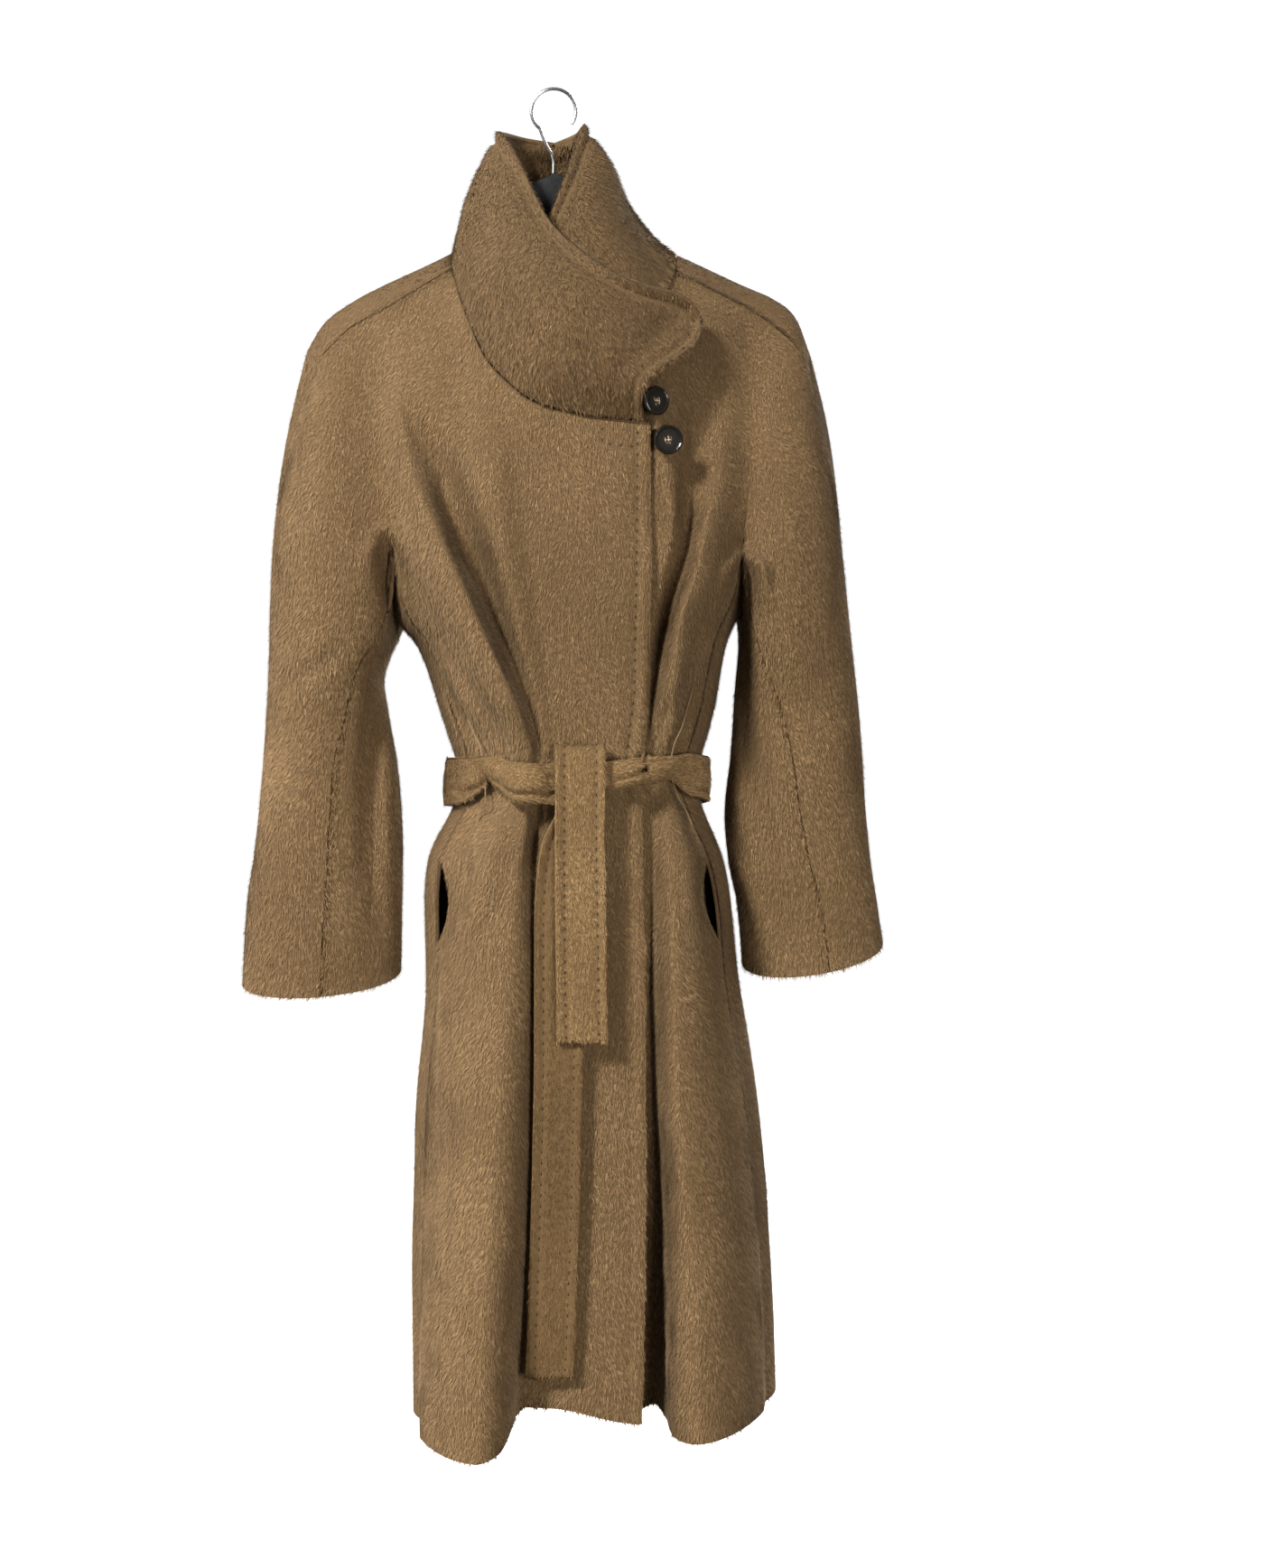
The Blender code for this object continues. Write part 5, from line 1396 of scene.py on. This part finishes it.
ahead = np.zeros(len(points), bool)
ahead[np.unique(panels["front_right"])] = True
ahead &= facing[:, 1] < FACES_AHEAD
edge_away = column(FRONT_EDGE, "x", points[:, 2]) - points[:, 0]
points[ahead] += facing[ahead] * rolled_lip(edge_away[ahead], FRONT_LIP)[:, None]
facing = facing_of(points, every)
for name, quads in panels.items():
    mesh, outer, local, out = round_wall(name, points, quads, facing, WALL, SEAM_SOFT)
    sewn = front_sewn(outer, out) if name == "front_right" else None
    finish_piece(name, mesh, [(outer, local, out)], COAT_NAP, (ground_look, pile_look), sewn)


def grid_sheet(grid, flip):
    quads = faces_of(grid.shape[:2])
    if flip:
        quads = quads[:, ::-1]
    flat = grid.reshape(-1, 3)
    return flat, quads, facing_of(flat, quads)


def collar_levels():
    """Rows from the neck seam to the free edge, closer together near the edge."""
    return 1 - (1 - np.linspace(0, 1, COLLAR_ROWS * COLLAR_FINE + 1)) ** COLLAR_CLOSER


def run_in(grid, axis):
    """How far each point is from the grid's last row or column, along the cloth."""
    step = np.linalg.norm(np.diff(grid, axis=axis), axis=-1)
    step = np.flip(np.cumsum(np.flip(step, axis), axis), axis)
    shape = list(step.shape)
    shape[axis] = 1
    return np.concatenate([step, np.zeros(shape)], axis)


def inset_line(grid, away, depth):
    """The line that lies a given depth from the grid's last row."""
    return np.array([[np.interp(depth, away[::-1, j], grid[::-1, j, k]) for k in range(3)]
                     for j in range(grid.shape[1])])


def neck_edge():
    """The coat's own open edge round the neck."""
    pairs, times = np.unique(np.sort(quad_sides(every), axis=1), axis=0, return_counts=True)
    edge = points[np.unique(pairs[times == 1])]
    return edge[edge[:, 2] < NECK_LOWEST]


def seated(grid):
    """The collar with its first row laid on the coat's neck edge."""
    edge = neck_edge()
    nearest = np.array([edge[np.argmin(((edge - p) ** 2).sum(1))] for p in grid[0]])
    move = nearest - grid[0]
    far = np.linalg.norm(move, axis=1, keepdims=True)
    move *= np.minimum(1, SEAT_REACH / np.maximum(far, 1e-6))
    ease = 1 - smoothstep(collar_levels() / SEAT_SHARE)
    return grid + ease[:, None, None] * move[None]


def eased(grid):
    """The collar with the sharp turns of its upper rows rounded."""
    weight = 0.5 * smoothstep((collar_levels() - EASE_START) / EASE_SHARE)[:, None, None]
    for step in range(EASE_PASSES):
        mean = 0.5 * (grid[:, 2:] + grid[:, :-2])
        grid[:, 1:-1] += weight * (mean - grid[:, 1:-1])
    return grid


def collar_grid(side):
    ribs = COLLAR[side]
    at = np.linspace(0, len(ribs) - 1, COLLAR_COLS[side] * COLLAR_FINE + 1)
    seam, mid, edge = (np.stack(by_number(ribs, at, part + "_x", part + "_y", part + "_down"), -1)
                       for part in ("seam", "mid", "edge"))
    out = (mid - np.array(COLLAR_MIDDLE)) * np.array([1, 1, 0])
    out *= (by_number(ribs, at, "roll")[0] / np.linalg.norm(out, axis=-1))[:, None]
    grid = []
    for t in collar_levels():
        low = 2 * (t - 0.5) * (t - 1)
        high = 2 * t * (t - 0.5)
        grid.append(seam * low + mid * 4 * t * (1 - t) + edge * high - out * math.sin(2 * math.pi * t))
    grid = eased(seated(np.array(grid)))
    rise = grid[1] - grid[0]
    grid[0] += unit(rise) * COLLAR_LIFT
    if side == "right":
        run = np.linspace(0, 1, len(at))
        near_end = smoothstep((run - 1 + END_SHARE) / END_SHARE)
        bulge = np.exp(-((collar_levels() - END_MIDDLE) / END_SPREAD) ** 2)
        grid[..., 0] += END_BULGE * np.outer(bulge, near_end)
        raised = np.exp(-((run - RAISE_MIDDLE) / RAISE_SPREAD) ** 2)
        grid[..., 2] -= EDGE_RAISE * np.outer(smoothstep(2 * collar_levels() - 1), raised)
        from_corner = np.linalg.norm(grid - grid[-1, -1], axis=-1)
        grid += np.exp(-((from_corner / CORNER_SMALL) ** 2))[..., None] * np.array(CORNER_ROUND)
    return grid


for side in ("right", "left"):
    grid = collar_grid(side)
    thick = np.repeat(WALL + (COLLAR_WALL - WALL) * smoothstep(2 * collar_levels()), grid.shape[1])
    away = run_in(grid, 0)
    if side == "right":
        away = np.minimum(away, run_in(grid, 1))
    flat, quads, out = grid_sheet(grid, side == "right")
    ahead = np.clip(-out[:, 1], 0, 1)
    swell = COLLAR_SWELL * np.repeat(np.sin(math.pi * collar_levels()), grid.shape[1]) * ahead
    swell += rolled_lip(away, COLLAR_LIP).reshape(-1) + 0.5 * FORM.at(flat)
    flat = flat + out * swell[:, None]
    flat[:, 1] += crease_depth(flat, out, COLLAR_CREASES)
    if side == "right":
        corner = np.exp(-((np.linalg.norm(flat - np.array(CORNER), axis=1) / CORNER_REACH) ** 2))
        lean = np.repeat(smoothstep(collar_levels() / LEAN_SHARE), grid.shape[1]) * ahead
        flat[:, 1] += CORNER_TUCK * corner - COLLAR_LEAN * lean * (1 - corner)
    grid = flat.reshape(grid.shape)
    out = facing_of(flat, quads)
    lines = [inset_line(grid, run_in(grid, 0), COLLAR_INSET)]
    if side == "right":
        lines[0] = lines[0][: -2 * COLLAR_FINE]
        turned = grid.transpose(1, 0, 2)
        lines.append(inset_line(turned, run_in(turned, 0), COLLAR_INSET)[2 * COLLAR_FINE: -COLLAR_FINE])
    sewn = sewn_along(lines, flat, out)
    mesh, outer, local, out = round_wall("collar_" + side, flat, quads, out, thick)
    behind = (outer - out * thick[:, None], local, -out)
    finish_piece("collar_" + side, mesh, [(outer, local, out), behind], COLLAR_NAP_PAINTED_SHADE, (ground_look, pile_look),
                 sewn)

for side in ("right", "left"):
    flat, quads, out = grid_sheet(bag_grid(side), side == "left")
    mesh, outer, local, out = round_wall("pocket_" + side, flat, quads, out, POCKET_BAG.wall)
    bag = show("pocket_" + side + "_cloth", mesh, pocket_look)
    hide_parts("pocket_" + side)


# The belt's strands as they look: a round roll on one side of the tie and a pinched fold on the other.
Band = namedtuple("Band", "turn mid height stand")
STRANDS = listed(
    Band, (0.0, 630, 24, 8.6), (0.03, 628, 27, 8.0), (0.07, 624, 26, 3.5), (0.106, 621, 24, 2.5),
    (0.15, 628, 40, 2.0), (0.264, 634, 44, 1.9), (0.5, 637, 48, 1.9), (0.743, 636, 46, 1.9),
    (0.84, 634, 43, 1.9), (0.872, 627, 30, 2.4), (0.887, 620, 19, 3.0), (0.912, 627, 29, 4.0),
    (0.948, 636, 38, 7.5), (1.0, 638, 38, 8.6)
)
ROLL_HEIGHT = 10.0
ROLL_END = 0.14
PUFF_HEIGHT = 6.0
PUFF_START = 0.78
STRAND_PUFF = 2.5
# Inside the tie the strands lie flat again.
TIE_START = 0.018
TIE_RUN = 0.03
Twist = namedtuple("Twist", "start stop high low depth reach")
BELT_CREASES = listed(
    Twist, (0.02, 0.1, 0.3, -0.42, 3.5, 0.09), (0.886, 1.01, 0.3, 0.2, 4.0, 0.07),
    (0.82, 0.888, 0.18, 0.36, 4.0, 0.07), (0.905, 1.01, -0.35, -0.1, 1.5, 0.14)
)


def belt_grid():
    turn = np.linspace(0, 1, BELT_STEPS + 1)
    mid, height, stand = (column(STRANDS, name, turn, "turn") for name in ("mid", "height", "stand"))
    across = np.linspace(-0.5, 0.5, STRAP_COLS + 1)
    low = waist_ring(turn, mid - 0.5 * height)
    high = waist_ring(turn, mid + 0.5 * height)
    grid = np.array([low + (high - low) * (s + 0.5) for s in across])
    quads = faces_of(grid.shape[:2])
    away = facing_of(grid.reshape(-1, 3), quads).reshape(grid.shape)
    centre = grid.mean((0, 1))
    out = np.sign((away * (grid - centre) * np.array([1, 1, 0])).sum(-1, keepdims=True))
    round_share = np.sqrt(1 - (2 * across) ** 2)
    puff = PUFF_HEIGHT * smoothstep((turn - PUFF_START) / (1 - PUFF_START))
    free = smoothstep((np.minimum(turn, 1 - turn) - TIE_START) / TIE_RUN)
    roll = ROLL_HEIGHT * (1 - smoothstep(turn / ROLL_END))
    rise = np.outer(round_share, (STRAND_PUFF + roll + puff) * free)
    for fold in BELT_CREASES:
        share = np.clip((turn - fold.start) / (fold.stop - fold.start), 0, 1)
        middle = fold.high + (fold.low - fold.high) * share
        live = np.sin(math.pi * share) ** 0.5
        rise -= fold.depth * live * np.exp(-(((across[:, None] - middle) / fold.reach) ** 2))
    return grid + away * out * (stand[None] + BELT_WALL + rise)[..., None]


def strap_grid(rows):
    at = np.linspace(0, len(rows) - 1, (len(rows) - 1) * TAIL_STEPS + 1)
    x, y, down, width = by_number(rows, at, *Strap._fields)
    grid = [np.stack([x + width * s, y, down], -1) for s in np.linspace(-0.5, 0.5, STRAP_COLS + 1)]
    return np.array(grid).transpose(1, 0, 2)


def sewn_strap(name, grid, across, along, nap=BELT_NAP):
    """A belt piece: its two long edges are stitched, and a tail's long edges and end are also rolled."""
    flat, quads, out = grid_sheet(grid, False)
    edge = np.minimum(run_in(grid, across), np.flip(run_in(np.flip(grid, across), across), across))
    ended = across == 1
    if ended:
        edge = np.minimum(edge, run_in(grid, 0))
    rolled = rolled_lip(edge, BELT_LIP).reshape(-1) if ended else 0
    flat = flat + out * (rolled + 0.4 * FORM.at(flat * 2))[:, None]
    grid = flat.reshape(grid.shape)
    out = facing_of(flat, quads)
    lines = []
    for turned in (grid, np.flip(grid, across)):
        line = turned if across == 0 else turned.transpose(1, 0, 2)
        line = inset_line(line, run_in(line, 0), BELT_INSET)
        # Stitches of the stretch round the waist stop short of the tie.
        lines.append(line if ended else line[len(line) // 6: -len(line) // 5])
    sewn = sewn_along(lines, flat, out)
    mesh, outer, local, out = round_wall(name, flat, quads, out, BELT_WALL)
    finish_piece(name, mesh, [(outer, local, out)], nap, (belt_ground_look, belt_pile_look),
                 sewn, along)


sewn_strap("belt_round", belt_grid(), 0, (1.0, 0.0, 0.25))
sewn_strap("belt_tail_short", strap_grid(TAIL_SHORT), 1, (0.0, 0.0, 1.0))
sewn_strap("belt_tail_long", strap_grid(TAIL_LONG), 1, (0.0, 0.0, 1.0), TAIL_NAP_PAINTED_SHADE)


def tube(name, line, radius):
    curve = bpy.data.curves.new(name, "CURVE")
    curve.dimensions = "3D"
    curve.bevel_depth = radius * MM
    curve.bevel_resolution = 3
    curve.use_fill_caps = True
    spline = curve.splines.new("POLY")
    spline.points.add(len(line) - 1)
    for knot, p in zip(spline.points, real(line)):
        knot.co = (*p, 1)
    return curve


for side in CARRIERS:
    name = "belt_carrier_" + side
    thread = show(name + "_thread", tube(name + "_thread", carrier_line(side), THREAD), thread_look)
    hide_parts(name)


def noisy_material(name, dark, light, scale, rough, metal, gloss):
    made, tree, shader = new_material(name)
    noise = object_noise(tree, scale, 4)
    dye(tree, shader, noise.outputs["Fac"], ((0.35, dark), (0.7, light)))
    socket(shader, "Roughness", rough)
    socket(shader, "Metallic", metal)
    socket(shader, "Specular IOR Level", gloss)
    return made


def repaint(node, look):
    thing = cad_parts[node]
    if not thing.material_slots:
        thing.data.materials.append(look)
    for slot in thing.material_slots:
        slot.material = look


HORN_RADIUS = 0.013
HORN_MOTTLE = 0.009
HORN_STOPS = ((0.46, (0.42, 0.34, 0.24)), (0.56, (0.16, 0.115, 0.07)), (0.62, (0.016, 0.012, 0.009)),
              (1.0, (0.01, 0.008, 0.006)))
BUTTONS = {"upper": Point(93.5, -101, 302), "lower": Point(104.0, -99, 336)}


def horn_material(name, disc):
    """Dark horn, paler and mottled round the holes."""
    made, tree, shader = new_material(name)
    place = tree.nodes.new("ShaderNodeTexCoord")
    middle = tree.nodes.new("ShaderNodeVectorMath")
    middle.operation = "DISTANCE"
    socket(middle, 1, tuple(real(disc)))
    tree.links.new(place.outputs["Object"], middle.inputs[0])
    noise = object_noise(tree, 620, 3, (1, 1, 0.4))
    mottle = worked(tree, "MULTIPLY_ADD", noise.outputs["Fac"], HORN_MOTTLE, middle.outputs["Value"])
    dye(tree, shader, worked(tree, "MULTIPLY", mottle, 1 / HORN_RADIUS), HORN_STOPS)
    socket(shader, "Roughness", 0.2)
    socket(shader, "Specular IOR Level", 0.28)
    return made


hanger_look = noisy_material("hanger_satin", (0.012, 0.012, 0.012), (0.02, 0.021, 0.02), 220, 0.5, 0, 0.2)
wire_look = noisy_material("bright_wire", (0.24, 0.24, 0.235), (0.36, 0.36, 0.35), 300, 0.36, 1, 0.5)
for which, disc in BUTTONS.items():
    repaint("button_" + which, horn_material("horn_" + which, disc))
for node in ("button_stem_upper", "button_stem_lower"):
    repaint(node, thread_look)
repaint("hanger_body", hanger_look)
repaint("hanger_hook", wire_look)

FLOOR_Z = -1.9
FLOOR_REACH = 15.0
DOME_RADIUS = 12.0
DOME_STEPS = 24


def white_glow(look):
    shader = look.node_tree.nodes["Principled BSDF"]
    socket(shader, "Emission Color", (1, 1, 1, 1))
    socket(shader, "Emission Strength", 1.0)
    return shader


def stage_piece(name, verts, faces, look):
    """A piece of the backdrop, which the camera sees but which throws no light on the coat."""
    mesh = bpy.data.meshes.new(name)
    mesh.from_pydata(verts, [], faces)
    mesh.materials.append(look)
    thing = bpy.data.objects.new(name, mesh)
    thing.visible_diffuse = False
    thing.visible_glossy = False
    bpy.context.scene.collection.objects.link(thing)
    return thing


floor_look = noisy_material("pale_floor", (0.86, 0.86, 0.86), (0.9, 0.9, 0.9), 4, 0.9, 0, 0)
white_glow(floor_look)
corners = ((-1, -1), (1, -1), (1, 1), (-1, 1))
floor_thing = stage_piece("floor", [(x * FLOOR_REACH, y * FLOOR_REACH, FLOOR_Z) for x, y in corners],
                          [(0, 1, 2, 3)], floor_look)
dome_look = new_material("white_backdrop")[0]
socket(white_glow(dome_look), "Base Color", (0, 0, 0, 1))
ball = round_ball(2 * DOME_STEPS, DOME_STEPS) * DOME_RADIUS
dome_faces = faces_of(ball.shape[:2]).tolist()
dome_thing = stage_piece("backdrop", ball.reshape(-1, 3).tolist(), dome_faces, dome_look)
dome_thing.visible_transmission = False
dome_thing.visible_shadow = False

scene = bpy.context.scene
world = bpy.data.worlds.new("studio")
scene.world = world
world.use_nodes = True
socket(world.node_tree.nodes["Background"], "Color", (1, 1, 1, 1))
socket(world.node_tree.nodes["Background"], "Strength", 0.18)
scene.view_settings.view_transform = "Standard"

Lamp = namedtuple("Lamp", "place aim size power")
LAMPS = {
    "key": Lamp((-3.2, -4.0, 3.1), (0.03, 0.0, -0.6), 1.0, 625),
    "fill": Lamp((2.2, -4.4, -1.2), (0.03, 0.0, -0.6), 1.8, 165),
    "side": Lamp((-4.6, -0.3, 0.2), (0.03, 0.0, -0.7), 1.6, 200),
    "back": Lamp((2.6, 4.2, 2.6), (0.03, 0.0, -0.6), 2.0, 260),
}


def add_lamp(name, lamp):
    light = bpy.data.lights.new(name, "AREA")
    light.size = lamp.size
    light.energy = lamp.power
    thing = bpy.data.objects.new(name, light)
    away = Vector(lamp.place) - Vector(lamp.aim)
    thing.location = lamp.place
    thing.rotation_euler = away.to_track_quat("Z", "Y").to_euler()
    scene.collection.objects.link(thing)


for name, lamp in LAMPS.items():
    add_lamp(name, lamp)

CAMERA_PLACE = (0.073, -2.1, -0.6374)
PIXEL = 0.00083
SHOT_HIGH = 1736
SENSOR = 36.0
camera = bpy.data.cameras.new("camera")
camera.sensor_fit = "VERTICAL"
camera.sensor_height = SENSOR
camera.lens = SENSOR * (-CAMERA_PLACE[1] / PIXEL) / SHOT_HIGH
eye = bpy.data.objects.new("camera", camera)
eye.location = CAMERA_PLACE
eye.rotation_euler = (math.radians(90), 0, 0)
scene.collection.objects.link(eye)
scene.camera = eye
